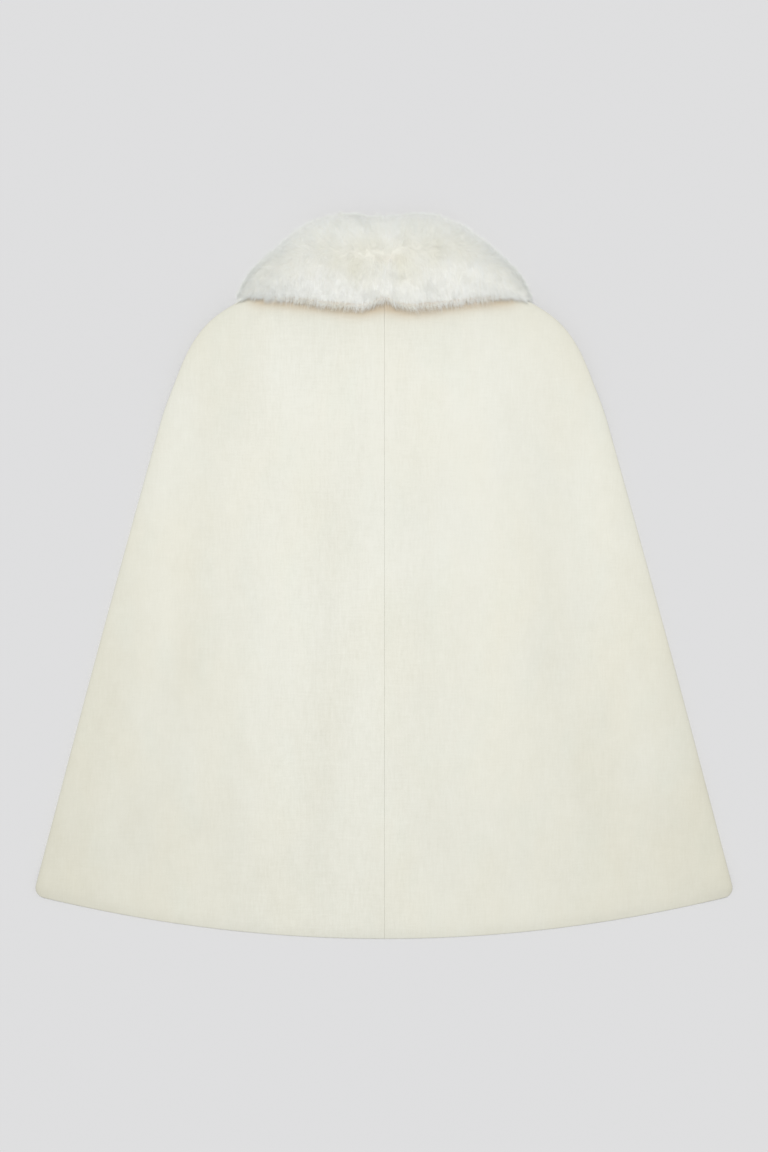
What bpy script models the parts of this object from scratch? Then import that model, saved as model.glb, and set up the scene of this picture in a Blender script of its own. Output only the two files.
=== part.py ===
"""Cape coat with a fur collar, laid flat on a table with its back up.

Metres, +Z up. The table is z = 0, the collar points to +Y and the hem to -Y.
The origin is on the table, in the middle of the coat's width and length.
The fronts lie on the table, the backs on the fronts, the collar's back fall
on the backs, and the collar's two fronts under the coat fronts.
"""

import math

import bmesh
import bpy
import numpy as np
from mathutils import Vector
from mathutils.geometry import interpolate_bezier

MM = 0.001

# Driving sizes
CLOTH = 2.5 * MM  # thickness of the milled wool
SEAM_GAP = 0.3 * MM  # space that every seam keeps between two pieces
SEAM_X = 0.5 * MM  # the centre back seam lies this far right of the middle
HEM_LOW = -400 * MM  # lowest point of the hem, at the centre back
HEM_CORNER = -352 * MM  # height of the hem at the side seams
HEM_TUCK = 4 * MM  # the fronts' hem ends this far inside the back's
BACK_NECK = 317 * MM  # neckline at the centre back
FRONT_NECK = 247 * MM  # neckline at the centre front
CORNER_RADIUS = 11 * MM  # the hem's rounded corners
ROLL = 17 * MM  # width over which the back rolls down to the side seam
SEAM_STEP = 1.2 * MM  # upright stretch of the back above the side seam
SEAM_REST = 0.1 * MM  # added to the gap where a back comes down on a front

# Half of the coat's outline, from the neck to the hem's corner
SIDE_LINE = (
    # place, half width, height (mm)
    ("neck point", 79, 337),
    ("shoulder under the fur", 148, 307),
    ("end of the shoulder", 188, 282.5),
    ("turn of the shoulder", 212, 253),
    ("below the turn", 233, 205),
    ("upper side", 245.5, 170),
    ("middle of the side", 314, -78),
    ("hem corner", 386.4, -352),
)

# The collar lifts the cloth that lies over its fronts
LIFT = 10 * MM  # height of the fronts over the collar
LIFT_CENTRE = 290 * MM
LIFT_WIDE = 170 * MM
LIFT_LONG = 136 * MM
LIFT_START = 0.92  # share of the lifted ellipse that is level
LIFT_END = 2.2  # where the cloth is back on the table

# Air between the fronts and the backs
AIR_LEAST = 0.6 * MM
AIR_MORE = 2.5 * MM  # added round the neck and along the rolled sides
EDGE_AIR = 60 * MM  # reach of the air along the sides

# Long soft folds that run down the back from the collar
BACK_FOLDS = (
    # name, top x, top y, foot x, foot y, half width, height (mm)
    ("left side", -219, 172, -262, -255, 27, 1.0),
    ("left middle", -104, 250, -126, -300, 38, 0.9),
    ("centre back", 0, 262, -2, -350, 24, 0.6),
    ("right middle", 93, 250, 126, -290, 40, 0.8),
    ("right side", 214, 165, 292, -235, 28, 1.0),
)

# The hem is turned up inside, which raises a low band above it
HEM_TURN = 38 * MM
HEM_RISE = 0.5 * MM

# The collar's back fall: its edge at the roll, and its lower edge
COLLAR_TOP = (
    # place, half width, height (mm)
    ("outer end", 163.5, 306),
    ("above the end", 162, 318),
    ("shoulder", 151, 334),
    ("half way up", 134, 350),
    ("side of the roll", 103, 375.5),
    ("end of the roll", 78, 391),
    ("hump of the roll", 45, 399.8),
    ("middle of the roll", 0, 397),
)
COLLAR_LOW = (
    # place, half width, height (mm)
    ("outer end", 150, 303),
    ("shoulder", 118, 300),
    ("side", 92, 297.5),
    ("fullest fall", 30, 290),
    ("centre notch", 0, 293.5),
)
# One cut across the back fall, from its lower edge to the roll
FALL_SECTION = (
    # share of the way up, share of the full height
    (0.0, 0.12),
    (0.025, 0.34),
    (0.1, 0.54),
    (0.24, 0.72),
    (0.42, 0.89),
    (0.6, 0.98),
    (0.75, 1.0),
    (0.87, 0.9),
    (0.95, 0.66),
    (0.99, 0.34),
    (1.0, 0.06),
)
FALL_HEIGHT = 25 * MM  # depth of the fur above the cloth at the centre back
FALL_HEIGHT_END = 15 * MM  # and at the outer ends
FALL_PARTING = 3 * MM  # depth of the parting at the centre back
PARTING_WIDE = 13 * MM  # half its width
ROLL_RIM = 12 * MM  # height of the roll's outer edge above the table
FALL_CLEAR = 0.5 * MM  # space under the fall
FALL_LEAST = 0.9 * MM  # least thickness of the fall, at its edges
FALL_STEP = 4 * MM  # the fall's underside steps down this far outside the cloth
FRONT_CLEAR = 0.4 * MM  # space between the collar's fronts and the cloth on them

# The collar's front on one side, as cuts from the roll to the outer edge
FRONT_COLLAR = (
    # place, roll x, roll y, edge x, edge y (mm)
    ("behind the neck", 60, 373, 76, 390),
    ("side of the neck", 63, 358, 104, 373),
    ("above the shoulder", 63, 341, 136, 347.5),
    ("shoulder", 59, 323, 159, 322),
    ("below the shoulder", 53, 307, 166, 296),
    ("outer front", 43, 293, 163, 262),
    ("lower front", 31, 284, 146, 222),
    ("rounded tip", 19, 279, 116, 187),
    ("under the tip", 9, 277, 78, 166),
    ("towards the centre", 3.5, 276.5, 38, 158),
    ("centre front", 1.5, 276, 10, 163),
)
# One cut across the collar's front, once round
FRONT_SECTION = (
    # share of the way out, height (mm)
    (0.0, 4.2),
    (0.03, 7.4),
    (0.1, 9.3),
    (0.3, 9.6),
    (0.6, 9.6),
    (0.85, 8.9),
    (0.95, 7.0),
    (1.0, 4.0),
    (0.975, 1.4),
    (0.92, 0.0),
    (0.6, 0.0),
    (0.3, 0.0),
    (0.1, 0.0),
    (0.03, 1.2),
)

# Flat hook and bar that hold the fronts together at the neck
FASTENER_Y = 228 * MM
SHEET_METAL = 0.5 * MM
HOOK_WIDE = 8 * MM
HOOK_LONG = 12 * MM  # from its sewn end to its bend
BAR_X = 2.6 * MM  # middle of the bar, on the right front
BAR_WIDE = 1.6 * MM
BAR_FEET = 8 * MM  # from the middle to the outer end of each foot
BAR_FOOT = 3 * MM
JAW_LONG = 1.2 * MM  # from the bar back to the hook's inner bend
JOG_BACK = 2.5 * MM  # from that bend back to where the hook rises
JOG_RUN = 1.6 * MM  # length of the rise
JOG_SHIFT = 0.4 * MM  # its upper side starts this far back

# Where the grids have their columns and rows
ROLL_ANGLES = (0, 22, 44, 66, 90)  # degrees round the rolled side
BACK_COLUMNS = 15
BACK_ROWS = 34
FRONT_ACROSS = (*np.linspace(0, 0.93, 10), 0.972, 0.99, 1.0)  # shares of the width
FRONT_ROWS = 26
CORNER_ROWS = (1.15, 0.75, 0.4, 0.12, 0)  # corner radii above the hem
CORNER_CLEAR = 1.6  # the even rows end this many radii above it
COLLAR_STATIONS = 48
UNDER_ACROSS = np.linspace(0.97, 0.03, 16)  # shares of the way under the fall
EDGE_SAMPLES = 400


def smooth_step(low, high, value):
    """Runs evenly from 0 at low to 1 at high."""
    share = min(max((value - low) / (high - low), 0.0), 1.0)
    return share * share * (3 - 2 * share)


def smooth_line(points, samples=EDGE_SAMPLES):
    """A smooth curve through points, as evenly spaced samples of it."""
    knots = [Vector((x, y, 0)) for x, y in points]
    walked = []
    for i in range(len(knots) - 1):
        before = knots[max(i - 1, 0)]
        start, end = knots[i], knots[i + 1]
        after = knots[min(i + 2, len(knots) - 1)]
        reach = (end - start).length / 3
        leave = (end - before).normalized() * reach
        arrive = (after - start).normalized() * reach
        piece = interpolate_bezier(start, start + leave, end - arrive, end, 60)
        walked += piece if i == 0 else piece[1:]
    line = np.array([(p.x, p.y) for p in walked])
    steps = np.linalg.norm(np.diff(line, axis=0), axis=1)
    along = np.concatenate([[0.0], np.cumsum(steps)])
    even = np.linspace(0, along[-1], samples)
    return np.column_stack([np.interp(even, along, line[:, i]) for i in range(2)])


def table_line(table):
    """A smooth curve through a table whose rows end in x and y in millimetres."""
    return smooth_line([(row[-2] * MM, row[-1] * MM) for row in table])


def at_share(line, share):
    """The point of an evenly sampled line at a share of its length."""
    spot = share * (len(line) - 1)
    places = np.arange(len(line))
    return np.array([np.interp(spot, places, line[:, i]) for i in range(2)])


SIDE = table_line(SIDE_LINE)


def neckline(width):
    """Points of the back neckline from the centre to the neck point."""
    shares = np.linspace(0, 0.95, 20)
    rise = SIDE[0][1] - BACK_NECK
    return np.column_stack([shares * width, BACK_NECK + rise * shares**2])


CAPE_EDGE = np.vstack([neckline(SIDE[0][0]), SIDE[::4]])


def edge_distance(x, y):
    """Distance of a point from the coat's neckline, shoulder and side."""
    start, end = CAPE_EDGE[:-1], CAPE_EDGE[1:]
    run = end - start
    point = np.array([abs(x), y])
    share = np.sum((point - start) * run, axis=1) / np.sum(run * run, axis=1)
    nearest = start + np.clip(share, 0, 1)[:, None] * run
    return float(np.min(np.linalg.norm(nearest - point, axis=1)))


def inside_cape(x, y):
    """Whether a point near the collar lies over the backs."""
    half = abs(x)
    if half <= SIDE[0][0]:
        return y < BACK_NECK + (SIDE[0][1] - BACK_NECK) * (half / SIDE[0][0]) ** 2
    return y < np.interp(half, SIDE[:, 0], SIDE[:, 1])


def from_neck(x, y):
    """Distance from the neck, as a share of the lifted ellipse."""
    return math.hypot(x / LIFT_WIDE, (y - LIFT_CENTRE) / LIFT_LONG)


def front_under(x, y):
    """Height of the underside of the fronts."""
    return LIFT * (1 - smooth_step(LIFT_START, LIFT_END, from_neck(x, y)))


def folds(x, y):
    """Height that the long folds add to the backs."""
    total = 0.0
    for _, top_x, top_y, foot_x, foot_y, half_width, height in BACK_FOLDS:
        share = (top_y * MM - y) / ((top_y - foot_y) * MM)
        middle = (top_x + (foot_x - top_x) * share) * MM
        across = (x - middle) / (half_width * MM)
        fade = smooth_step(-0.12, 0.16, share) * (1 - smooth_step(0.88, 1.1, share))
        total += height * MM * fade * math.exp(-across * across)
    return total


def hem_band(x, y):
    """Height that the turned-up hem adds to the backs."""
    hem = HEM_LOW + (HEM_CORNER - HEM_LOW) * (x / SIDE[-1][0]) ** 2
    return HEM_RISE * (1 - smooth_step(0.8 * HEM_TURN, 1.15 * HEM_TURN, y - hem))


def back_over(x, y):
    """Height of the backs' upper side, before their sides roll down."""
    near_neck = 1 - smooth_step(0.6, 1.8, from_neck(x, y))
    near_side = 1 - smooth_step(0.0, EDGE_AIR, edge_distance(x, y))
    air = AIR_LEAST + AIR_MORE * (1 - (1 - near_neck) * (1 - near_side))
    return front_under(x, y) + 2 * CLOTH + air + folds(x, y) + hem_band(x, y)


def new_object(name, mesh, colour, roughness, metallic=0.0):
    """Adds a mesh to the coat's collection with a material of its own."""
    obj = bpy.data.objects.new(name, mesh)
    COAT.objects.link(obj)
    material = bpy.data.materials.new(name)
    material.use_nodes = True
    shader = material.node_tree.nodes["Principled BSDF"]
    shader.inputs["Base Color"].default_value = (*colour, 1)
    shader.inputs["Roughness"].default_value = roughness
    shader.inputs["Metallic"].default_value = metallic
    mesh.materials.clear()
    mesh.materials.append(material)
    return obj


def grid_mesh(name, rows, turned=False):
    """An open surface through rows of points."""
    bm = bmesh.new()
    verts = [[bm.verts.new(point) for point in row] for row in rows]
    for upper, lower in zip(verts[:-1], verts[1:]):
        for i in range(len(upper) - 1):
            corners = [upper[i], lower[i], lower[i + 1], upper[i + 1]]
            bm.faces.new(corners[::-1] if turned else corners)
    mesh = bpy.data.meshes.new(name)
    bm.to_mesh(mesh)
    bm.free()
    mesh.shade_smooth()
    return mesh


def ring_mesh(name, rings):
    """A closed solid through rings of points, with a cap at both ends."""
    bm = bmesh.new()
    verts = [[bm.verts.new(point) for point in ring] for ring in rings]
    count = len(verts[0])
    for ring, following in zip(verts[:-1], verts[1:]):
        for i in range(count):
            j = (i + 1) % count
            bm.faces.new([ring[i], ring[j], following[j], following[i]])
    bm.faces.new(verts[0])
    bm.faces.new(verts[-1])
    bmesh.ops.recalc_face_normals(bm, faces=bm.faces)
    mesh = bpy.data.meshes.new(name)
    bm.to_mesh(mesh)
    bm.free()
    mesh.shade_smooth()
    return mesh


def thicken(obj):
    """Gives an open surface the cloth's thickness, downwards."""
    wall = obj.modifiers.new("Cloth", "SOLIDIFY")
    wall.thickness = CLOTH
    wall.offset = -1
    wall.use_even_offset = True


def round_corner(from_side, from_hem):
    """Moves a point near the hem's corner so that the corner is round."""
    a = 1 - from_side / CORNER_RADIUS
    b = 1 - from_hem / CORNER_RADIUS
    if a <= 0 or b <= 0:
        return from_side, from_hem
    a, b = a * math.sqrt(1 - b * b / 2), b * math.sqrt(1 - a * a / 2)
    return CORNER_RADIUS * (1 - a), CORNER_RADIUS * (1 - b)


def panel_point(neck, first_x, across, share, side):
    """A point of a panel in plan.

    The rows run from the centre seam to the side like the hem, in one arc.
    across is the way along a row, and share the way from the neckline to the
    hem at the centre and at the side.
    """
    edge = at_share(SIDE, share)
    centre_y = neck + (HEM_LOW - neck) * share
    x = side * first_x + across * (edge[0] - side * first_x)
    y = centre_y + (edge[1] - centre_y) * across * across
    return side * x, y


def row_shares(count):
    """Shares of the way to the hem, closer together in its rounded corner."""
    radius = CORNER_RADIUS / (BACK_NECK - HEM_LOW)
    even = [s for s in np.linspace(0, 1, count) if s < 1 - CORNER_CLEAR * radius]
    return [*even, *(1 - k * radius for k in CORNER_ROWS)]


def make_back(name, side):
    """Half of the back, from the centre seam to the rolled side seam."""
    first_x = SEAM_X + side * SEAM_GAP / 2
    length = BACK_NECK - HEM_LOW
    rows = []
    for share in row_shares(BACK_ROWS):
        edge = at_share(SIDE, share)
        width = edge[0] - side * first_x
        row = []
        level = np.linspace(width, ROLL, BACK_COLUMNS)
        turns = [ROLL * (1 - math.sin(math.radians(a))) for a in ROLL_ANGLES[1:]]
        for k, from_side in enumerate([*level, *turns, 0.0]):
            turn = max(k - BACK_COLUMNS + 1, 0)
            near, low = round_corner(from_side, (1 - share) * length)
            at = 1 - low / length
            x, y = panel_point(BACK_NECK, first_x, 1 - near / width, at, side)
            seam = front_under(x, y) + CLOTH + SEAM_GAP + SEAM_REST
            top = back_over(x, y)
            if turn == 0:
                z = top
            elif turn == len(ROLL_ANGLES):
                z = seam
            else:
                angle = math.radians(ROLL_ANGLES[turn])
                z = seam + SEAM_STEP + (top - seam - SEAM_STEP) * math.cos(angle)
            row.append((x, y, z))
        rows.append(row)
    obj = new_object(name, grid_mesh(name, rows, side < 0), WOOL, 0.9)
    thicken(obj)


def make_front(name, side):
    """Half of the front, flat on the table beyond the collar."""
    first_x = side * SEAM_GAP / 2
    length = FRONT_NECK - HEM_LOW
    rows = []
    for share in row_shares(FRONT_ROWS):
        row = []
        for part in FRONT_ACROSS:
            edge = at_share(SIDE, share)
            width = edge[0] - side * first_x
            near, low = round_corner((1 - part) * width, (1 - share) * length)
            tuck = HEM_TUCK * smooth_step(0.94, 1.0, share)
            near = tuck + near * (1 - tuck / width)
            at = 1 - (tuck + low * (1 - tuck / length)) / length
            x, y = panel_point(FRONT_NECK, first_x, 1 - near / width, at, side)
            row.append((x, y, front_under(x, y) + CLOTH))
        rows.append(row)
    obj = new_object(name, grid_mesh(name, rows, side < 0), WOOL, 0.9)
    thicken(obj)


def under_fall(x, y):
    """Height of the underside of the collar's back fall."""
    high = back_over(x, y) + FALL_CLEAR
    if inside_cape(x, y):
        return high
    away = smooth_step(FALL_STEP, 3.5 * FALL_STEP, edge_distance(x, y))
    return high + (LIFT - high) * away


def make_fall(name):
    """The collar's back fall, a loft from its left end to its right end."""
    top = table_line(COLLAR_TOP)
    low = table_line(COLLAR_LOW)
    shares, heights = np.array(FALL_SECTION).T
    rings = []
    for station in np.linspace(-1, 1, COLLAR_STATIONS):
        side = 1 if station >= 0 else -1
        start = at_share(low, 1 - abs(station)) * (side, 1)
        end = at_share(top, 1 - abs(station)) * (side, 1)
        fullness = math.sqrt(max(1 - abs(station) ** 2.4, 0))
        depth = FALL_HEIGHT_END + (FALL_HEIGHT - FALL_HEIGHT_END) * fullness
        depth -= FALL_PARTING * math.exp(-((start[0] / PARTING_WIDE) ** 2))
        lip = under_fall(*start)

        def over_at(share):
            rest = lip + (ROLL_RIM - lip) * smooth_step(0.35, 1.0, share)
            height = rest + float(np.interp(share, shares, heights)) * depth
            x, y = start + (end - start) * share
            return x, y, max(height + FALL_CLEAR, under_fall(x, y) + FALL_LEAST)

        def under_at(share):
            x, y, z = over_at(share)
            return x, y, min(under_fall(x, y), z - FALL_LEAST)

        ring = [over_at(share) for share in shares]
        x, y, z = ring[-1]
        ring.append((x, y, z - FALL_LEAST))
        ring += [under_at(share) for share in UNDER_ACROSS]
        x, y, z = ring[0]
        ring.append((x, y, z - FALL_LEAST))
        rings.append(ring)
    new_object(name, ring_mesh(name, rings), FUR, 0.95)


def make_front_collar(name, side):
    """One of the collar's fronts, which lies on the table under a coat front."""
    rolls = smooth_line([(row[1] * MM, row[2] * MM) for row in FRONT_COLLAR])
    edges = smooth_line([(row[3] * MM, row[4] * MM) for row in FRONT_COLLAR])
    rings = []
    for station in np.linspace(0, 1, COLLAR_STATIONS // 2 + 3):
        start, end = at_share(rolls, station), at_share(edges, station)
        ring = []
        for share, height in FRONT_SECTION:
            x, y = start + (end - start) * share
            z = min(height * MM, front_under(x, y) - FRONT_CLEAR)
            ring.append((side * x, y, z))
        rings.append(ring)
    new_object(name, ring_mesh(name, rings), FUR, 0.95)


def flat_outline(name, points, half_width):
    """A plate of sheet metal, from its outline in X and Z."""
    curve = bpy.data.curves.new(name, "CURVE")
    curve.dimensions = "2D"
    curve.fill_mode = "BOTH"
    curve.extrude = half_width
    line = curve.splines.new("POLY")
    line.points.add(len(points) - 1)
    for spot, (x, z) in zip(line.points, points):
        spot.co = (x, z, 0, 1)
    line.use_cyclic_u = True
    return curve


def place_plate(name, curve, place, turn):
    """Makes a plate's curve a closed mesh and puts it in its place."""
    scratch = bpy.data.objects.new(name, curve)
    COAT.objects.link(scratch)
    shape = scratch.evaluated_get(bpy.context.evaluated_depsgraph_get())
    mesh = bpy.data.meshes.new_from_object(shape)
    bpy.data.objects.remove(scratch)
    bm = bmesh.new()
    bm.from_mesh(mesh)
    bmesh.ops.remove_doubles(bm, verts=bm.verts, dist=0.01 * MM)
    bmesh.ops.recalc_face_normals(bm, faces=bm.faces)
    bm.to_mesh(mesh)
    bm.free()
    obj = new_object(name, mesh, METAL, 0.35, 1.0)
    obj.location = place
    obj.rotation_euler = turn


def make_fastener():
    """The hook on the left front, closed round the bar on the right front."""
    cloth_top = front_under(0, FASTENER_Y) + CLOTH
    seat = cloth_top + SEAM_GAP
    metal, space = SHEET_METAL, SEAM_GAP
    over = 3 * metal + 2 * space
    reach = BAR_X + BAR_WIDE / 2 + space
    back = BAR_X - BAR_WIDE / 2 - JAW_LONG
    jog = back - JOG_BACK
    hook = [
        (-HOOK_LONG, 0),
        (jog, 0),
        (jog + JOG_RUN, over - metal),
        (reach, over - metal),
        (reach, metal),
        (back, metal),
        (back, 0),
        (reach + metal, 0),
        (reach + metal, over),
        (jog - JOG_SHIFT + JOG_RUN, over),
        (jog - JOG_SHIFT, metal),
        (-HOOK_LONG, metal),
    ]
    upright = (math.pi / 2, 0, 0)
    plate = flat_outline("hook", hook, HOOK_WIDE / 2)
    place_plate("hook", plate, (0, FASTENER_Y, seat), upright)
    low, high = metal + space, 2 * metal + space
    inner = BAR_FEET - BAR_FOOT
    bar = [
        (-BAR_FEET, 0),
        (-inner, 0),
        (-inner, low),
        (inner, low),
        (inner, 0),
        (BAR_FEET, 0),
        (BAR_FEET, metal),
        (inner + metal, metal),
        (inner + metal, high),
        (-inner - metal, high),
        (-inner - metal, metal),
        (-BAR_FEET, metal),
    ]
    plate = flat_outline("hook_bar", bar, BAR_WIDE / 2)
    sideways = (math.pi / 2, 0, math.pi / 2)
    place_plate("hook_bar", plate, (BAR_X, FASTENER_Y, seat), sideways)


for old in list(bpy.data.objects):
    bpy.data.objects.remove(old)

WOOL = (0.80, 0.79, 0.69)
FUR = (0.78, 0.79, 0.75)
METAL = (0.62, 0.61, 0.58)

COAT = bpy.data.collections.new("Cape coat")
bpy.context.scene.collection.children.link(COAT)

for word, hand in (("left", -1), ("right", 1)):
    make_back("back_" + word, hand)
    make_front("front_" + word, hand)
    make_front_collar("collar_front_" + word, hand)
make_fall("collar_back")
make_fastener()
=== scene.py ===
# %% [markdown]
# # A cape coat with a fur collar, laid flat
#
# The coat lies on its front, so the back is up: two halves of milled wool
# with a seam between them, and the back of a thick fur collar above.
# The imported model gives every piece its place. This script gives the cloth
# its finer form and the collar its hairs, and it never moves a solid.

import math

import bmesh
import bpy
import numpy as np
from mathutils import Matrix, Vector, noise
from mathutils.geometry import interpolate_bezier


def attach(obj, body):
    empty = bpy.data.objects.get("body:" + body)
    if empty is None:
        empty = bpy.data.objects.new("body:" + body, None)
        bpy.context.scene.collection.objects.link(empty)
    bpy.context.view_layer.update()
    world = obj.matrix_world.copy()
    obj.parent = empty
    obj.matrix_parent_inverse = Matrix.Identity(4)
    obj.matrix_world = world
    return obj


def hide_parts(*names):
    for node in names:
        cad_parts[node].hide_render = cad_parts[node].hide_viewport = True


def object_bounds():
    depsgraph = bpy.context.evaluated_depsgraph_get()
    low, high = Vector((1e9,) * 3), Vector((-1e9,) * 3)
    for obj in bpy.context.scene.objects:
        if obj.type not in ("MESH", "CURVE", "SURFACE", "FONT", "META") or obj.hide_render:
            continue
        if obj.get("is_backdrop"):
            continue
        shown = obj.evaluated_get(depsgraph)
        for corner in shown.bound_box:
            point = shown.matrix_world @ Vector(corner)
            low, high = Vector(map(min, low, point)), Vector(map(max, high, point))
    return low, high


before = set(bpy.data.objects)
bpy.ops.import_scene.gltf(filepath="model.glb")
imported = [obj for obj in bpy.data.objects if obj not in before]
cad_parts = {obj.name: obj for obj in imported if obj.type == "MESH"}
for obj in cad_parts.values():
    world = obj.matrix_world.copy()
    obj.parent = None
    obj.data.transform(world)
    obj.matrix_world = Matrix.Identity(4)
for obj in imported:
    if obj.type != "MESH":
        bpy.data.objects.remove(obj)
cad_low, cad_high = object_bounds()
MM = 0.001
size = cad_high - cad_low
print(f"the coat is {size.x:.3f} m wide, {size.y:.3f} m long, {size.z:.3f} m thick")

# %% [markdown]
# ## The camera
#
# A garment that is laid out flat is photographed from straight above. A long
# lens far away keeps the sides from leaning. One pixel of the picture shows
# 1.1 mm of the coat, so the distance follows from the height of the picture.

# %% Camera straight above
PIXEL = 1.1 * MM
PICTURE_HIGH = 1152
LENS = 100.0
FILM_HIGH = 36.0
CLOTH_LEVEL = 7 * MM

camera_data = bpy.data.cameras.new("camera")
camera_data.sensor_fit = "VERTICAL"
camera_data.sensor_height = FILM_HIGH
camera_data.lens = LENS
camera = bpy.data.objects.new("camera", camera_data)
distance = PICTURE_HIGH * PIXEL * LENS / FILM_HIGH
camera.location = (0, 0, CLOTH_LEVEL + distance)
bpy.context.scene.collection.objects.link(camera)
bpy.context.scene.camera = camera
print(f"the camera is {distance:.2f} m above the cloth")

# %% [markdown]
# ## Light and floor
#
# The photograph has almost no shadows: a ring of soft light hangs above the
# table, next to the camera. A sun lamp with a wide disc stands in for it. It
# leans a little to the collar and to the left, so that the fringe of the fur
# still leaves a thin shadow and the folds show. The world fills the rest.

# %% Soft studio light
WORLD_LIGHT = 0.42
SUN_LIGHT = 1.875
SUN_DISC = 20.0
SUN_PLACE = Vector((-0.04, 0.2, 1.0))

world = bpy.data.worlds.new("studio")
world.use_nodes = True
sky = world.node_tree.nodes["Background"]
sky.inputs["Color"].default_value = (1, 1, 1, 1)
sky.inputs["Strength"].default_value = WORLD_LIGHT
bpy.context.scene.world = world

sun_data = bpy.data.lights.new("ring of soft light", "SUN")
sun_data.energy = SUN_LIGHT
sun_data.angle = math.radians(SUN_DISC)
sun = bpy.data.objects.new("ring of soft light", sun_data)
sun.rotation_euler = (-SUN_PLACE).to_track_quat("-Z", "Y").to_euler()
bpy.context.scene.collection.objects.link(sun)
bpy.context.scene.view_settings.view_transform = "Standard"


# %% Helpers for node trees
def add_node(tree, kind, *feeds, **settings):
    """Adds a node and feeds its inputs in order with sockets or values."""
    node = tree.nodes.new(kind)
    for name, value in settings.items():
        setattr(node, name, value)
    shown = [s for s in node.inputs if s.enabled]
    for socket, value in zip(shown, feeds):
        feed(tree, socket, value)
    return node


def feed(tree, socket, value):
    """Gives an input a socket or a value, or leaves it as it is for None."""
    if isinstance(value, bpy.types.NodeSocket):
        tree.links.new(value, socket)
    elif value is not None:
        socket.default_value = value


def feed_named(tree, node, values):
    """Feeds the inputs of a node that have these names."""
    for name, value in values.items():
        feed(tree, node.inputs[name], value)


def result(node, name=None):
    """The output of a node that has this name, or its first one."""
    shown = [s for s in node.outputs if s.enabled]
    return next((s for s in shown if s.name == name), shown[0])


def do_maths(tree, operation, *feeds):
    """A Math node's result."""
    return result(add_node(tree, "ShaderNodeMath", *feeds, operation=operation))


def do_vectors(tree, operation, *feeds):
    """A Vector Math node's result."""
    return result(add_node(tree, "ShaderNodeVectorMath", *feeds, operation=operation))


def add_up(tree, total, *others):
    """The sum of values."""
    for other in others:
        total = do_maths(tree, "ADD", total, other)
    return total


def centred(tree, value, amount):
    """A pattern from 0 to 1 as a swing of amount round 0."""
    return do_maths(tree, "MULTIPLY_ADD", value, 2 * amount, -amount)


def own_place(tree):
    """Where a point lies on its own piece, in metres."""
    return result(add_node(tree, "ShaderNodeTexCoord"), "Object")


def noise_on(tree, scales, detail=3.0, rough=0.55):
    """A noise pattern on a piece, with its own scale on each axis."""
    spread = do_vectors(tree, "MULTIPLY", own_place(tree), scales)
    return result(add_node(tree, "ShaderNodeTexNoise", spread, 1.0, detail, rough))


def read_on_mesh(tree, name):
    """A value that a mesh keeps on its points, for a material."""
    return result(add_node(tree, "ShaderNodeAttribute", attribute_name=name), "Fac")


def mix_colours(tree, share, first, second, blend="MIX"):
    """The second colour over the first one, as far as a share says."""
    colours = [c if isinstance(c, bpy.types.NodeSocket) else (*c, 1) for c in (first, second)]
    way = {"data_type": "RGBA", "blend_type": blend}
    return result(add_node(tree, "ShaderNodeMix", share, *colours, **way))


def tint(tree, share, colour, by):
    """A colour that is multiplied by a tint, as far as a share says."""
    return mix_colours(tree, share, colour, by, "MULTIPLY")


def bump(tree, height, strength, distance):
    """The direction of a surface that a pattern makes rough."""
    node = add_node(tree, "ShaderNodeBump", strength, distance)
    feed(tree, node.inputs["Height"], height)
    return result(node)


def new_material(name, roughness):
    """A material with its tree and its Principled shader."""
    material = bpy.data.materials.new(name)
    material.use_nodes = True
    tree = material.node_tree
    shader = tree.nodes["Principled BSDF"]
    shader.inputs["Roughness"].default_value = roughness
    return material, tree, shader


# %% [markdown]
# The floor is a plain pale grey sheet of paper. Its own colour holds a faint
# cloudiness, because a surface with one flat colour looks like a drawing.

# %% Pale floor
FLOOR_SIZE = 8.0
FLOOR_GREY = (0.735, 0.735, 0.742)
FLOOR_CLOUDS = (1.5, 1.5, 1.5)
CLOUD_SHARE = 0.992

floor_mesh = bpy.data.meshes.new("floor")
half = FLOOR_SIZE / 2
corners = [(-half, -half, 0), (half, -half, 0), (half, half, 0), (-half, half, 0)]
floor_mesh.from_pydata(corners, [], [(0, 1, 2, 3)])
floor = bpy.data.objects.new("floor", floor_mesh)
bpy.context.scene.collection.objects.link(floor)
paper, tree, shader = new_material("pale paper", 0.9)
darker = [CLOUD_SHARE * c for c in FLOOR_GREY]
cloudy = mix_colours(tree, noise_on(tree, FLOOR_CLOUDS), FLOOR_GREY, darker)
feed_named(tree, shader, {"Base Color": cloudy, "Specular IOR Level": 0.1})
floor_mesh.materials.append(paper)
floor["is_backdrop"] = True

# %% [markdown]
# ## The outline of the coat
#
# The side of the coat is one smooth line: down the shoulder, round its turn
# and straight to the hem. A short table holds the few points that it needs,
# and a spline runs through them. The hem is an arc, as on any flared cut.
# The lower edge of the collar's back fall is a second line of this kind.

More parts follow.
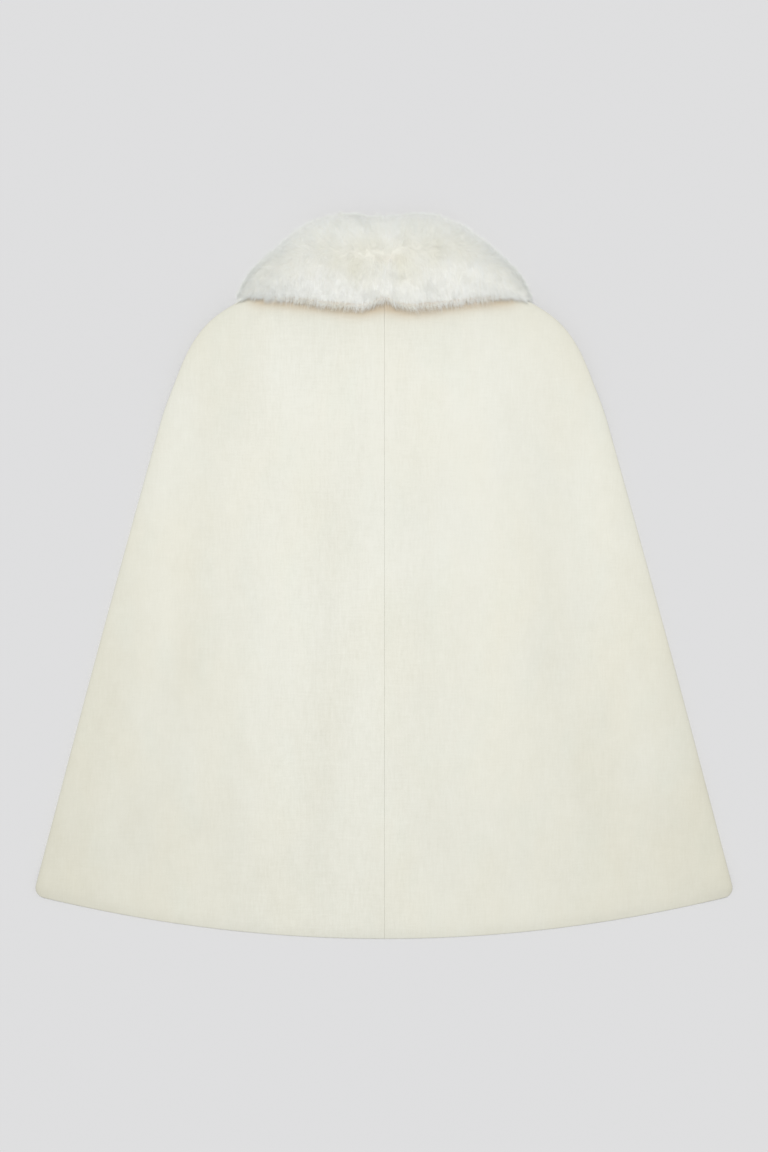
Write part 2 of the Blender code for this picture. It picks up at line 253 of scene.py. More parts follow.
# %% Outline and sizes
CLOTH = 2.5 * MM
SEAM_GAP = 0.3 * MM
SEAM_X = 0.5 * MM
HEM_LOW = -400 * MM
HEM_CORNER = -352 * MM
HEM_TUCK = 4 * MM
BACK_NECK = 317 * MM
FRONT_NECK = 247 * MM
CORNER_RADIUS = 11 * MM
ROLL = 17 * MM
SEAM_STEP = 1.2 * MM
CURVE_STEPS = 60
SIDE_LINE = (
    # place, half width, height (mm)
    ("neck point", 79, 337),
    ("shoulder under the fur", 148, 307),
    ("end of the shoulder", 188, 282.5),
    ("turn of the shoulder", 212, 253),
    ("below the turn", 233, 205),
    ("upper side", 245.5, 170),
    ("middle of the side", 314, -78),
    ("hem corner", 386.4, -352),
)
COLLAR_LOW = (
    # place, half width, height (mm)
    ("outer end", 150, 303),
    ("shoulder", 118, 300),
    ("side", 92, 297.5),
    ("fullest fall", 30, 290),
    ("centre notch", 0, 293.5),
)


def smooth_line(points, samples=600):
    """A smooth curve through points, as evenly spaced samples of it."""
    knots = [Vector((x, y, 0)) for x, y in points]
    walked = []
    for i in range(len(knots) - 1):
        before = knots[max(i - 1, 0)]
        start, end = knots[i], knots[i + 1]
        after = knots[min(i + 2, len(knots) - 1)]
        reach = (end - start).length / 3
        leave = (end - before).normalized() * reach
        arrive = (after - start).normalized() * reach
        piece = interpolate_bezier(start, start + leave, end - arrive, end, CURVE_STEPS)
        walked += piece if i == 0 else piece[1:]
    line = np.array([(p.x, p.y) for p in walked])
    steps = np.linalg.norm(np.diff(line, axis=0), axis=1)
    along = np.concatenate([[0.0], np.cumsum(steps)])
    even = np.linspace(0, along[-1], samples)
    return np.column_stack([np.interp(even, along, line[:, i]) for i in range(2)])


def table_line(table, first=-2):
    """A smooth curve through two columns of a table in millimetres."""
    return smooth_line([(row[first] * MM, row[first + 1] * MM) for row in table])


def at_share(line, share):
    """Points of an evenly sampled line at shares of its length."""
    spots = np.asarray(share, float) * (len(line) - 1)
    places = np.arange(len(line))
    return np.stack([np.interp(spots, places, line[:, i]) for i in range(2)], -1)


SIDE = table_line(SIDE_LINE)
FALL_LOW = table_line(COLLAR_LOW)
side_length = np.linalg.norm(np.diff(SIDE, axis=0), axis=1).sum()
print(f"the side runs {side_length:.3f} m from the neck to the hem")

# %% [markdown]
# ## How high the cloth lies
#
# The fronts lie on the table, but near the neck they lie on the fronts of
# the collar, and the backs lie on top. So the height of the cloth is a few
# simple rules added up: a lift over the collar, air between the layers,
# which is most along the rolled sides, long soft folds that fall from the
# collar, and the band of the turned-up hem.

# %% Heights over the plan
LIFT = 10 * MM
LIFT_CENTRE = 290 * MM
LIFT_WIDE = 170 * MM
LIFT_LONG = 136 * MM
LIFT_SLOPE = (0.92, 2.2)
AIR_LEAST = 0.6 * MM
AIR_MORE = 2.5 * MM
EDGE_AIR = 60 * MM
HEM_TURN = 38 * MM
HEM_TURN_EDGE = (0.8 * HEM_TURN, 1.15 * HEM_TURN)
HEM_RISE = 0.5 * MM
NECK_AIR = (0.6, 1.8)
FOLD_STARTS = (-0.12, 0.16)
FOLD_ENDS = (0.88, 1.1)
NECK_SHARES = np.linspace(0, 0.95, 20)
SIDE_EVERY = 6
BACK_FOLDS = (
    # name, top x, top y, foot x, foot y, half width, height (mm)
    ("left side", -219, 172, -262, -255, 27, 1.0),
    ("left middle", -104, 250, -126, -300, 38, 0.9),
    ("centre back", 0, 262, -2, -350, 24, 0.6),
    ("right middle", 93, 250, 126, -290, 40, 0.8),
    ("right side", 214, 165, 292, -235, 28, 1.0),
)


def smooth_step(low, high, value):
    """Runs evenly from 0 at low to 1 at high."""
    share = np.clip((np.asarray(value, float) - low) / (high - low), 0, 1)
    return share * share * (3 - 2 * share)


def neck_height(share):
    """Height of the back's neckline, from the centre to the neck point."""
    return BACK_NECK + (SIDE[0][1] - BACK_NECK) * share**2


def cape_edge():
    """The neckline and the side as one line of points."""
    neckline = np.column_stack([NECK_SHARES * SIDE[0][0], neck_height(NECK_SHARES)])
    return np.vstack([neckline, SIDE[::SIDE_EVERY]])


CAPE_EDGE = cape_edge()


def edge_distance(x, y):
    """Distance of points from the coat's neckline, shoulder and side."""
    start, run = CAPE_EDGE[:-1], np.diff(CAPE_EDGE, axis=0)
    point = np.stack([np.abs(x), y], -1)[..., None, :]
    share = np.sum((point - start) * run, axis=-1) / np.sum(run * run, axis=1)
    nearest = start + np.clip(share, 0, 1)[..., None] * run
    return np.min(np.linalg.norm(nearest - point, axis=-1), axis=-1)


def from_neck(x, y):
    """Distance from the neck, as a share of the lifted ellipse."""
    return np.hypot(x / LIFT_WIDE, (y - LIFT_CENTRE) / LIFT_LONG)


def front_under(x, y):
    """Height of the underside of the fronts."""
    return LIFT * (1 - smooth_step(*LIFT_SLOPE, from_neck(x, y)))


def ridges(table, x, y):
    """Height of soft ridges, or troughs where the height is negative."""
    total = np.zeros(np.shape(x))
    for _, top_x, top_y, foot_x, foot_y, half_width, height in table:
        share = (top_y * MM - y) / ((top_y - foot_y) * MM)
        middle = (top_x + (foot_x - top_x) * share) * MM
        across = (x - middle) / (half_width * MM)
        fade = smooth_step(*FOLD_STARTS, share) * (1 - smooth_step(*FOLD_ENDS, share))
        total = total + height * MM * fade * np.exp(-across * across)
    return total


def hem_band(x, y):
    """Height that the turned-up hem adds to the backs."""
    hem = HEM_LOW + (HEM_CORNER - HEM_LOW) * (x / SIDE[-1][0]) ** 2
    return HEM_RISE * (1 - smooth_step(*HEM_TURN_EDGE, y - hem))


def back_over(x, y):
    """Height of the backs' upper side, before their sides roll down."""
    near_neck = 1 - smooth_step(*NECK_AIR, from_neck(x, y))
    near_side = 1 - smooth_step(0.0, EDGE_AIR, edge_distance(x, y))
    air = AIR_LEAST + AIR_MORE * (1 - (1 - near_neck) * (1 - near_side))
    level = front_under(x, y) + 2 * CLOTH + air
    return level + ridges(BACK_FOLDS, x, y) + hem_band(x, y)


print(f"the backs are {1000 * float(back_over(0.1, 0.0)):.1f} mm above the table")

# %% [markdown]
# ## Small creases and the life of the cloth
#
# A heavy wool has few creases. What there is came from hanging and from the
# fold it was stored in: shallow troughs of uneven length that fan out from
# the shoulders. They are listed in a table. A slow noise of up to a
# third of a millimetre keeps the rest from looking like a sheet of metal.
# The hidden fronts have creases of their own, where their underside lifts a
# little off the floor.

# %% Creases
BACK_CREASES = (
    # name, top x, top y, foot x, foot y, half width, height (mm)
    ("inside the left ridge, above", -178, 236, -217, -120, 20, -0.8),
    ("inside the left ridge, below", -214, -80, -290, -320, 22, -0.8),
    ("under the left shoulder", -150, 250, -158, 130, 13, -0.4),
    ("left of the seam", -62, 60, -69, -356, 19, -0.8),
    ("by the seam", -34, 210, -38, 20, 11, -0.3),
    ("left flank", -150, 20, -176, -330, 14, -0.4),
    ("right of the seam", 42, 100, 50, -330, 15, -0.5),
    ("inside the right ridge, above", 176, 228, 182, -130, 22, -0.8),
    ("inside the right ridge, below", 180, -80, 250, -330, 24, -0.8),
    ("right middle", 140, 180, 150, -40, 14, -0.35),
    ("left edge", -262, 60, -322, -210, 9, -0.3),
    ("right edge", 262, 70, 332, -190, 10, -0.3),
)
FRONT_CREASES = (
    # name, top x, top y, foot x, foot y, half width, height (mm)
    ("left front, from the collar", -96, 130, -128, -250, 17, 0.6),
    ("left front, side", -196, 170, -268, -180, 20, 0.7),
    ("left front, by the edge", -30, 60, -38, -290, 12, 0.4),
    ("left front, low", -170, -90, -206, -345, 15, 0.5),
    ("right front, from the collar", 88, 120, 112, -190, 16, 0.6),
    ("right front, side", 204, 150, 292, -210, 22, 0.7),
    ("right front, by the edge", 36, 20, 41, -330, 11, 0.35),
    ("right front, low", 160, -120, 214, -350, 14, 0.5),
)
SLOW_SWELL = 0.32 * MM
SLOW_LENGTH = 75 * MM
SMALL_SWELL = 0.1 * MM
SMALL_LENGTH = 21 * MM
SWELL_LONG = 1.9
SEAM_DENT = 0.07 * MM
SEAM_DENT_WIDE = 2.0 * MM
ALLOWANCE = 13 * MM
ALLOWANCE_RISE = 0.22 * MM
ALLOWANCE_EDGE = (0.8 * ALLOWANCE, 1.2 * ALLOWANCE)
PUCKER = 0.1 * MM
PUCKER_LENGTH = 17 * MM
PUCKER_DRIFT = 60 * MM
PUCKER_SHIFT = 3
SLOW_SEED, SMALL_SEED, PUCKER_SEED = 3.7, 8.1, 1.2


def swell(x, y, length, seed):
    """A slow noise from -1 to 1, drawn out down the coat."""
    flat_x, flat_y = np.ravel(x) / length, np.ravel(y) / (SWELL_LONG * length)
    values = [noise.noise((a, b, seed)) for a, b in zip(flat_x, flat_y)]
    return np.reshape(values, np.shape(x))


def back_relief(x, y):
    """What the eye sees on the back and the plain solids leave out."""
    relief = ridges(BACK_CREASES, x, y)
    relief = relief + SLOW_SWELL * swell(x, y, SLOW_LENGTH, SLOW_SEED)
    relief = relief + SMALL_SWELL * swell(x, y, SMALL_LENGTH, SMALL_SEED)
    away = np.abs(x - SEAM_X)
    relief = relief - SEAM_DENT * np.exp(-((away / SEAM_DENT_WIDE) ** 2))
    pressed = 1 - smooth_step(*ALLOWANCE_EDGE, away)
    drift = PUCKER_SHIFT * swell(x * 0, y, PUCKER_DRIFT, PUCKER_SEED)
    wave = np.sin(y / PUCKER_LENGTH * 2 * math.pi + drift)
    return relief + pressed * (ALLOWANCE_RISE + PUCKER * wave * np.exp(-away / ALLOWANCE))


# %% [markdown]
# ## A panel of cloth
#
# Each panel is a thin closed shell. First comes a grid of points on its
# upper side: the rows bend like the hem, and the last columns roll down to
# the side seam. The middle of the cloth lies half a thickness under that
# grid, and the two faces stand off the middle by half a thickness, which
# shrinks to nothing at every edge in a half circle. So a cut edge is as
# round as thick milled wool is, and a seam between two panels is a fine
# groove with no line drawn on it.

# %% Panels as rounded shells
SEAM_FOLD = 0.11 * MM
# A warm shadow is painted on the cloth below the fur's fringe.
FRINGE_SHADOW_REACH = 6.5 * MM
FRINGE_POWER = 1.4
FRINGE_ENDS = (0.9, 1.05)
# Painted shade along the rolled sides. The share below 0 at the hem is a painted lightening,
# which the side's value outweighs.
RIM_SIDE = 8 * MM
RIM_HEM = 4 * MM
RIM_HEM_SHARE = -2.2
WELD = 0.002 * MM


def round_corner(from_side, from_hem):
    """Moves points near the hem's corner so that the corner is round."""
    a = 1 - from_side / CORNER_RADIUS
    b = 1 - from_hem / CORNER_RADIUS
    near = (a > 0) & (b > 0)
    a, b = np.where(near, a, 0), np.where(near, b, 0)
    round_a, round_b = a * np.sqrt(1 - b * b / 2), b * np.sqrt(1 - a * a / 2)
    new_side = np.where(near, CORNER_RADIUS * (1 - round_a), from_side)
    new_hem = np.where(near, CORNER_RADIUS * (1 - round_b), from_hem)
    return new_side, new_hem


def panel_plan(neck, first_x, across, share, side):
    """Points of a panel in plan, across its rows and down its length."""
    edge = at_share(SIDE, share)
    centre_y = neck + (HEM_LOW - neck) * share
    x = side * first_x + across * (edge[..., 0] - side * first_x)
    return side * x, centre_y + (edge[..., 1] - centre_y) * across**2


def edge_round(seam, *distances):
    """1 inside a panel, falling to 0 at its edges in a half circle."""
    share = 1.0
    for away, reach in [(seam, SEAM_FOLD)] + [(d, CLOTH / 2) for d in distances]:
        near = np.clip(1 - away / reach, 0, 1)
        share = share * np.sqrt(1 - near * near)
    return share


def painted_rim_shade(from_side, from_hem):
    """1 at the side and the hem, fading inwards: where a painted shade darkens the rolled
    cloth.
    """
    side = np.exp(-np.maximum(from_side, 0) / RIM_SIDE)
    return np.maximum(side, RIM_HEM_SHARE * np.exp(-np.maximum(from_hem, 0) / RIM_HEM))


def below_collar(x, y):
    """How far points lie below the collar's lower edge, or nothing."""
    edge = np.interp(np.abs(x), *FALL_LOW[::-1].T)
    return np.maximum(edge - y, 0)


def painted_shadow_on_cloth(x, y):
    """1 under the fringe of the fur, fading over the cloth below it, for a painted warm
    shadow.
    """
    fade = np.exp(-((below_collar(x, y) / FRINGE_SHADOW_REACH) ** FRINGE_POWER))
    return fade * (1 - smooth_step(*FRINGE_ENDS, np.abs(x) / FALL_LOW[0][0]))


def grid_normals(points):
    """Directions square to a grid of points, on the side that is up."""
    normal = np.cross(np.gradient(points, axis=1), np.gradient(points, axis=0))
    normal /= np.linalg.norm(normal, axis=-1, keepdims=True)
    middle = normal[normal.shape[0] // 2, normal.shape[1] // 3]
    return normal if middle[2] > 0 else -normal


def turned_out(mesh, weld=None):
    """Welds points that touch, turns the faces outwards and smooths them."""
    bm = bmesh.new()
    bm.from_mesh(mesh)
    if weld:
        bmesh.ops.remove_doubles(bm, verts=bm.verts, dist=weld)
    bmesh.ops.recalc_face_normals(bm, faces=bm.faces)
    bm.to_mesh(mesh)
    bm.free()
    mesh.shade_smooth()
    return mesh


def shell_mesh(name, upper, lower, tones):
    """A closed mesh from two grids that meet along their edges."""
    rows, columns = upper.shape[:2]
    index = np.arange(rows * columns).reshape(rows, columns)
    quads = [index[:-1, :-1], index[1:, :-1], index[1:, 1:], index[:-1, 1:]]
    top = np.stack(quads, -1).reshape(-1, 4)
    faces = np.concatenate([top, top[:, ::-1] + rows * columns])
    mesh = bpy.data.meshes.new(name)
    points = np.concatenate([upper.reshape(-1, 3), lower.reshape(-1, 3)])
    mesh.from_pydata(points.tolist(), [], faces.tolist())
    for word, values in tones.items():
        layer = mesh.attributes.new(word, "FLOAT", "POINT")
        layer.data.foreach_set("value", np.tile(values.ravel(), 2))
    return turned_out(mesh, WELD)


def add_piece(name, mesh, material, node):
    """Puts a finished mesh in the scene, in place of a plain solid."""
    piece = bpy.data.objects.new(name, mesh)
    bpy.context.scene.collection.objects.link(piece)
    mesh.materials.clear()
    mesh.materials.append(material)
    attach(piece, "root")
    if node:
        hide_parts(node)
    return piece


def count_triangles(mesh):
    """How many triangles a mesh has."""
    mesh.calc_loop_triangles()
    return len(mesh.loop_triangles)


# %% [markdown]
# The grids of a panel are close where the cloth bends and wide where it lies
# flat. The side of a back rolls down in a quarter circle and ends upright on
# the front's edge. At the hem the backs sink towards the table, and the
# fronts are tucked in a few millimetres, so they don't show below the backs.

# %% Grids of the panels
EDGE_STEPS = np.array([0.0, 0.1, 0.35, 0.75, 1.25]) * MM
SEAM_STEPS = np.array([0.0, 0.03, 0.09, 0.17, 0.28, 0.8, 1.8, 3.2]) * MM
CORNER_STEPS = np.linspace(2.2 * MM, CORNER_RADIUS, 7)
NEXT_STEP = 3 * MM
CLOSED_SEAM = 0.04 * MM
ROLL_ANGLES = np.radians(np.arange(8, 91, 8.2))
ROLL_DROPS = np.array([0.9, 0.6, 0.35, 0.16, 0.05, 0.0]) * MM
ROLL_GAP = 0.1 * MM
HEM_DROP = 0.66
HEM_DROP_WIDE = 17 * MM
HEM_DROP_TO = 0.4 * MM
FRONT_FLAT = 5 * MM
TUCK_STARTS = 0.94
# Painted shade on the cloth below the collar, fading over this reach.
PAINTED_COLLAR_SHADE = 3.6
PAINTED_COLLAR_SHADE_REACH = 34 * MM


def down_the_panel(length, count):
    """Shares of the way from the neckline to the hem, close at both ends."""
    inner = np.linspace(CORNER_RADIUS + NEXT_STEP, length - NEXT_STEP, count)
    from_hem = [EDGE_STEPS, CORNER_STEPS, inner, length - EDGE_STEPS[::-1]]
    return (1 - np.concatenate(from_hem)[::-1] / length)[:, None]


def level_steps(first, last, count):
    """Even distances from the side, over the flat part of a panel."""
    return first + (last - first) * np.linspace(0, 1, count)


def rolled_down(top, seam):
    """Heights of a back, with its last columns rolled down to the side seam."""
    last = top.shape[1] - len(ROLL_DROPS)
    bend = np.concatenate([np.zeros(last - len(ROLL_ANGLES)), ROLL_ANGLES])
    rest = (seam + SEAM_STEP)[:, :last]
    rolled = rest + (top[:, :last] - rest) * np.cos(bend)
    return np.concatenate([rolled, seam[:, last:] + ROLL_DROPS], axis=1)


def back_grid(side, columns=74, rows=150):
    """The upper side of half of the back, and its distance from each edge."""
    first_x = SEAM_X + side * CLOSED_SEAM / 2
    length = BACK_NECK - HEM_LOW
    share = down_the_panel(length, rows)
    width = at_share(SIDE, share)[..., 0] - side * first_x
    seam_side = width - SEAM_STEPS
    level = level_steps(seam_side[:, -1:], ROLL, columns)[:, 1:]
    curve = ROLL * (1 - np.sin(ROLL_ANGLES))
    turned = np.broadcast_to(curve, (len(share), len(curve)))
    upright = np.zeros((len(share), len(ROLL_DROPS)))
    near = np.concatenate([seam_side, level, turned, upright], axis=1)
    low = np.broadcast_to((1 - share) * length, near.shape)
    round_near, round_low = round_corner(near, low)
    at = 1 - round_low / length
    x, y = panel_plan(BACK_NECK, first_x, 1 - round_near / width, at, side)
    seam = front_under(x, y) + CLOTH + SEAM_GAP + ROLL_GAP
    top = back_over(x, y) + back_relief(x, y)
    hem_near = 1 - np.clip(low / HEM_DROP_WIDE, 0, 1)
    above_table = (rolled_down(top, seam) - HEM_DROP_TO) * (1 - HEM_DROP * hem_near**2)
    z = HEM_DROP_TO + above_table
    from_end = np.full(near.shape, 1.0)
    from_end[:, -len(ROLL_DROPS) :] = ROLL_DROPS
    # Painted shade: darker in the troughs and below the collar, lighter on the ridges.
    folds = ridges(BACK_FOLDS, x, y) + ridges(BACK_CREASES, x, y)
    shade = PAINTED_COLLAR_SHADE * np.exp(-below_collar(x, y) / PAINTED_COLLAR_SHADE_REACH)
    tones = {
        "rim": painted_rim_shade(near, low),
        "hollow": -folds / MM + shade,
        "warm": painted_shadow_on_cloth(x, y),
    }
    rounding = edge_round(width - near, from_end, low, share * length)
    return np.stack([x, y, z], -1), rounding, tones


def front_grid(side, columns=44, rows=66):
    """The upper side of half of the front, and its distance from each edge."""
    first_x = side * CLOSED_SEAM / 2
    length = FRONT_NECK - HEM_LOW
    share = down_the_panel(length, rows)
    width = at_share(SIDE, share)[..., 0] - side * first_x
    seam_side = width - SEAM_STEPS
    level = level_steps(width - FRONT_FLAT, CORNER_RADIUS, columns)
    side_part = np.concatenate([CORNER_STEPS[-2::-1], EDGE_STEPS[::-1]])
    side_part = np.broadcast_to(side_part, (len(share), len(side_part)))
    near = np.concatenate([seam_side, level, side_part], axis=1)
    low = np.broadcast_to((1 - share) * length, near.shape)
    round_near, round_low = round_corner(near, low)
    tuck = HEM_TUCK * smooth_step(TUCK_STARTS, 1.0, share)
    round_near = tuck + round_near * (1 - tuck / width)
    at = 1 - (tuck + round_low * (1 - tuck / length)) / length
    x, y = panel_plan(FRONT_NECK, first_x, 1 - round_near / width, at, side)
    # The fronts' crease depth lifts their underside and is also painted as shade.
    tones = {"rim": painted_rim_shade(near, low), "hollow": ridges(FRONT_CREASES, x, y) / MM}
    rounding = edge_round(width - near, near, low, share * length)
    return np.stack([x, y, front_under(x, y) + CLOTH], -1), rounding, tones


def make_panel(name, grid, rounding, tones, material, rests_on):
    """A panel as a closed shell, in place of its plain solid."""
    up = grid_normals(grid)
    middle = grid - up * CLOTH / 2
    stand = up * (rounding * CLOTH / 2)[..., None]
    lower = middle - stand
    if rests_on == ["floor"]:
        lower[..., 2] += tones["hollow"] * rounding * MM
    mesh = shell_mesh(name + "_cloth", middle + stand, lower, tones)
    piece = add_piece(name + "_cloth", mesh, material, name)
    print(f"{count_triangles(mesh)} triangles")


# %% [markdown]
# ## Milled wool
#
# The cloth is woven, then milled until a short nap covers the threads. From
# a step away three things show: the threads as faint upright and level
# streaks, a fine grain of nap, and clouds of slightly warmer and cooler
# cream. Stretched noise makes streaks that are as irregular as real yarn, so
# no wave pattern is used. The same streaks drive a very small bump. The
# threads show most in a band beside the back seam, where the nap is rubbed.
# Shade is painted into the colour as well: the cloth is painted a little
# darker towards the hem and the sides, and it turns a little warmer there.

# %% The wool's material
WOOL_LIGHT = (0.862, 0.860, 0.775)
WOOL_SHADE = (0.610, 0.598, 0.500)
WARM_TINT = (1.0, 0.985, 0.955)
COOL_TINT = (0.985, 1.0, 1.005)
FRINGE_SHADOW_TINT = (0.80, 0.68, 0.57)
SHEEN_TINT = (1.0, 0.99, 0.94, 1)
YARN = (
    # what, scale on each axis, detail, swing
    ("upright threads", (560, 75, 300), 2.0, 0.26),
    ("level threads", (65, 560, 300), 2.0, 0.17),
    ("thick places in the yarn", (260, 30, 200), 1.0, 0.08),
)
NAP = (1300, 1000, 1300)
NAP_SWING = 0.36
WOOL_CLOUDS = (
    # what, scale on each axis, detail, swing
    ("clouds", (16, 9, 12), 3.0, 0.20),
    ("patches", (70, 48, 60), 3.0, 0.16),
)
WEAR = (6, 4, 6)
WEAR_LEAST = 0.2
CENTRE_WEAR = 0.65
CENTRE_FADE = 0.37
CENTRE_PLACE = (9.0, 0.5)
# Painted shade: the cloth is darker towards the hem and the sides; the sides also turn
# warmer.
PAINTED_SHADE_DOWN = (-1.1, 0.25)
PAINTED_SHADE_LEAST = 0.12
SIDE_PAINTED_SHADE_AND_WARMTH = 4.0
# How strongly each painted shade kept on the mesh darkens the cloth.
PAINTED_SHADE_OF = {"rim": 0.3, "hollow": 0.13}
TONE_SHARE = 0.5
WARM_CLOUDS = (11, 6, 9)
WARM_SWING = (2.4, -1.0)
COOL_CLOUDS = (24, 13, 20)
COOL_SWING = (3.0, -1.5)
NAP_ROUGHNESS = (0.12, 0.84)
WOOL_BUMP = (0.5, 0.2 * MM)


def swings(tree, table):
    """The patterns of a table, each as a swing round 0, added up."""
    parts = [
        centred(tree, noise_on(tree, scales, detail), amount)
        for _, scales, detail, amount in table
    ]
    return add_up(tree, *parts)


def grain_share(tree, x):
    """How strongly the threads show: in worn places, most beside the seam."""
    away = do_maths(tree, "MULTIPLY_ADD", x, *CENTRE_PLACE)
    centre = do_maths(tree, "POWER", CENTRE_FADE, do_maths(tree, "MULTIPLY", away, away))
    worn = do_maths(tree, "ADD", noise_on(tree, WEAR), WEAR_LEAST)
    return do_maths(tree, "MULTIPLY_ADD", centre, CENTRE_WEAR, worn)


def make_wool():
    """Cream milled wool with streaks of yarn, nap and soft clouds, and painted shade."""
    material, tree, shader = new_material("cream milled wool", 0.92)
    place = add_node(tree, "ShaderNodeSeparateXYZ", own_place(tree)).outputs
    nap = noise_on(tree, NAP, rough=0.7)
    grain = add_up(tree, swings(tree, YARN), centred(tree, nap, NAP_SWING))
    aside = do_maths(tree, "MULTIPLY", place["X"], place["X"])
    # Painted shade: darker towards the hem and the sides, along the rolled sides, in the
    # folds and below the collar, lighter on ridges.
    shade = do_maths(tree, "MULTIPLY_ADD", place["Y"], *PAINTED_SHADE_DOWN)
    shade = do_maths(tree, "MAXIMUM", shade, PAINTED_SHADE_LEAST)
    shade = do_maths(tree, "MULTIPLY_ADD", aside, SIDE_PAINTED_SHADE_AND_WARMTH, shade)
    for word, amount in PAINTED_SHADE_OF.items():
        shade = do_maths(tree, "MULTIPLY_ADD", read_on_mesh(tree, word), amount, shade)
    soft = add_up(tree, swings(tree, WOOL_CLOUDS), shade)
    tone = do_maths(tree, "MULTIPLY_ADD", grain, grain_share(tree, place["X"]), soft)
    tone = do_maths(tree, "MULTIPLY", tone, TONE_SHARE)
    colour = mix_colours(tree, tone, WOOL_LIGHT, WOOL_SHADE)
    warm = do_maths(tree, "MULTIPLY_ADD", noise_on(tree, WARM_CLOUDS, 2.0), *WARM_SWING)
    warm = do_maths(tree, "MULTIPLY_ADD", aside, SIDE_PAINTED_SHADE_AND_WARMTH, warm)
    colour = tint(tree, warm, colour, WARM_TINT)
    cool = do_maths(tree, "MULTIPLY_ADD", noise_on(tree, COOL_CLOUDS, 2.0), *COOL_SWING)
    colour = tint(tree, cool, colour, COOL_TINT)
    # A warm shadow painted on the cloth under the fringe.
    colour = tint(tree, read_on_mesh(tree, "warm"), colour, FRINGE_SHADOW_TINT)
    finish = {
        "Base Color": colour,
        "Roughness": do_maths(tree, "MULTIPLY_ADD", nap, *NAP_ROUGHNESS),
        "Sheen Weight": 0.2,
        "Sheen Roughness": 0.55,
        "Sheen Tint": SHEEN_TINT,
        "Specular IOR Level": 0.2,
        "Normal": bump(tree, grain, *WOOL_BUMP),
    }
    feed_named(tree, shader, finish)
    return material


wool = make_wool()
for word, hand in (("left", -1), ("right", 1)):
    make_panel("back_" + word, *back_grid(hand), wool, ["front_" + word])
    make_panel("front_" + word, *front_grid(hand), wool, ["floor"])

# %% [markdown]
# ## The skin of the collar
#
# Fur is a skin with hairs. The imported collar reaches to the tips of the
# hairs, so the skin is a smaller form inside it. The back fall is a loft:
# each cut runs from the lower edge up to the roll, and the fronts are lofts
# from the roll to the outer edge. A table gives the cut once, and the edges
# are two lines that the cuts slide along.

# %% The collar's lines
COLLAR_TOP = (
    # place, half width, height (mm)
    ("outer end", 163.5, 306),
    ("above the end", 162, 318),
    ("shoulder", 151, 334),
    ("half way up", 134, 350),
    ("side of the roll", 103, 375.5),
    ("end of the roll", 78, 391),
    ("hump of the roll", 45, 399.8),
    ("middle of the roll", 0, 397),
)
FALL_SECTION = (
    # share of the way up, share of the full height
    (0.0, 0.12),
    (0.025, 0.34),
    (0.1, 0.54),
    (0.24, 0.72),
    (0.42, 0.89),
    (0.6, 0.98),
    (0.75, 1.0),
    (0.87, 0.9),
    (0.95, 0.66),
    (0.99, 0.34),
    (1.0, 0.06),
)
FRONT_COLLAR = (
    # place, roll x, roll y, edge x, edge y (mm)
    ("behind the neck", 60, 373, 76, 390),
    ("side of the neck", 63, 358, 104, 373),
    ("above the shoulder", 63, 341, 136, 347.5),
    ("shoulder", 59, 323, 159, 322),
    ("below the shoulder", 53, 307, 166, 296),
    ("outer front", 43, 293, 163, 262),
    ("lower front", 31, 284, 146, 222),
    ("rounded tip", 19, 279, 116, 187),
    ("under the tip", 9, 277, 78, 166),
    ("towards the centre", 3.5, 276.5, 38, 158),
    ("centre front", 1.5, 276, 10, 163),
)
FRONT_SECTION = (
    # share of the way out, height (mm)
    (0.0, 4.0),
    (0.03, 6.2),
    (0.1, 7.4),
    (0.35, 7.8),
    (0.65, 7.8),
    (0.88, 7.0),
    (0.97, 5.6),
    (1.0, 3.8),
    (0.97, 2.0),
    (0.88, 1.5),
    (0.65, 1.5),
    (0.35, 1.5),
    (0.1, 1.5),
    (0.03, 2.2),
)
FALL_HEIGHT = 25 * MM
FALL_HEIGHT_END = 15 * MM
FALL_PARTING = 3 * MM
PARTING_WIDE = 13 * MM
NOTCH_WIDE = 11 * MM
NOTCH_DEEP = 4 * MM
ROLL_RIM = 12 * MM
FALL_CLEAR = 0.5 * MM
FALL_STEP = 4 * MM
FALL_STEP_END = 3.5 * FALL_STEP
# How far the skin stays inside the tips of the hairs
LOW_INSET = 8.5 * MM
ROLL_INSET = 6.5 * MM
ROLL_INSET_ENDS = 0.3
END_INSET = 0.025
END_TURN = (0.68, 0.97)
SKIN_SHARE = 0.74
SKIN_FALLING = 0.42
CREAM_CENTRE = np.array([8.0, 345.0]) * MM
CREAM_REACH = np.array([78.0, 26.0]) * MM
LIP_LIFT = 7.5 * MM
LIP_LONG = 0.35
PARTING_AT = 0.6
PARTING_SOFT = 0.42
FRONT_INSET = 7.5 * MM
FRONT_SHOWS = (0.36, 0.43)
FRONT_STARTS = 0.13


def inside_cape(x, y):
    """Whether points near the collar lie over the backs."""
    away = np.abs(x)
    shoulder = np.interp(away, SIDE[:, 0], SIDE[:, 1])
    return y < np.where(away <= SIDE[0][0], neck_height(away / SIDE[0][0]), shoulder)


def under_fall(x, y):
    """Height of the underside of the collar's back fall."""
    high = back_over(x, y) + FALL_CLEAR
    away = smooth_step(FALL_STEP, FALL_STEP_END, edge_distance(x, y))
    return np.where(inside_cape(x, y), high, high + (LIFT - high) * away)


def loft_mesh(name, rings):
    """A closed mesh through rings of points, capped at both ends."""
    points = np.concatenate(rings)
    index = np.arange(len(points)).reshape(len(rings), -1)
    beside = np.roll(index, -1, axis=1)
    quads = np.stack([index[:-1], beside[:-1], beside[1:], index[1:]], -1)
    faces = quads.reshape(-1, 4).tolist() + index[[0, -1]].tolist()
    mesh = bpy.data.meshes.new(name)
    mesh.from_pydata(points.tolist(), [], faces)
    return turned_out(mesh)


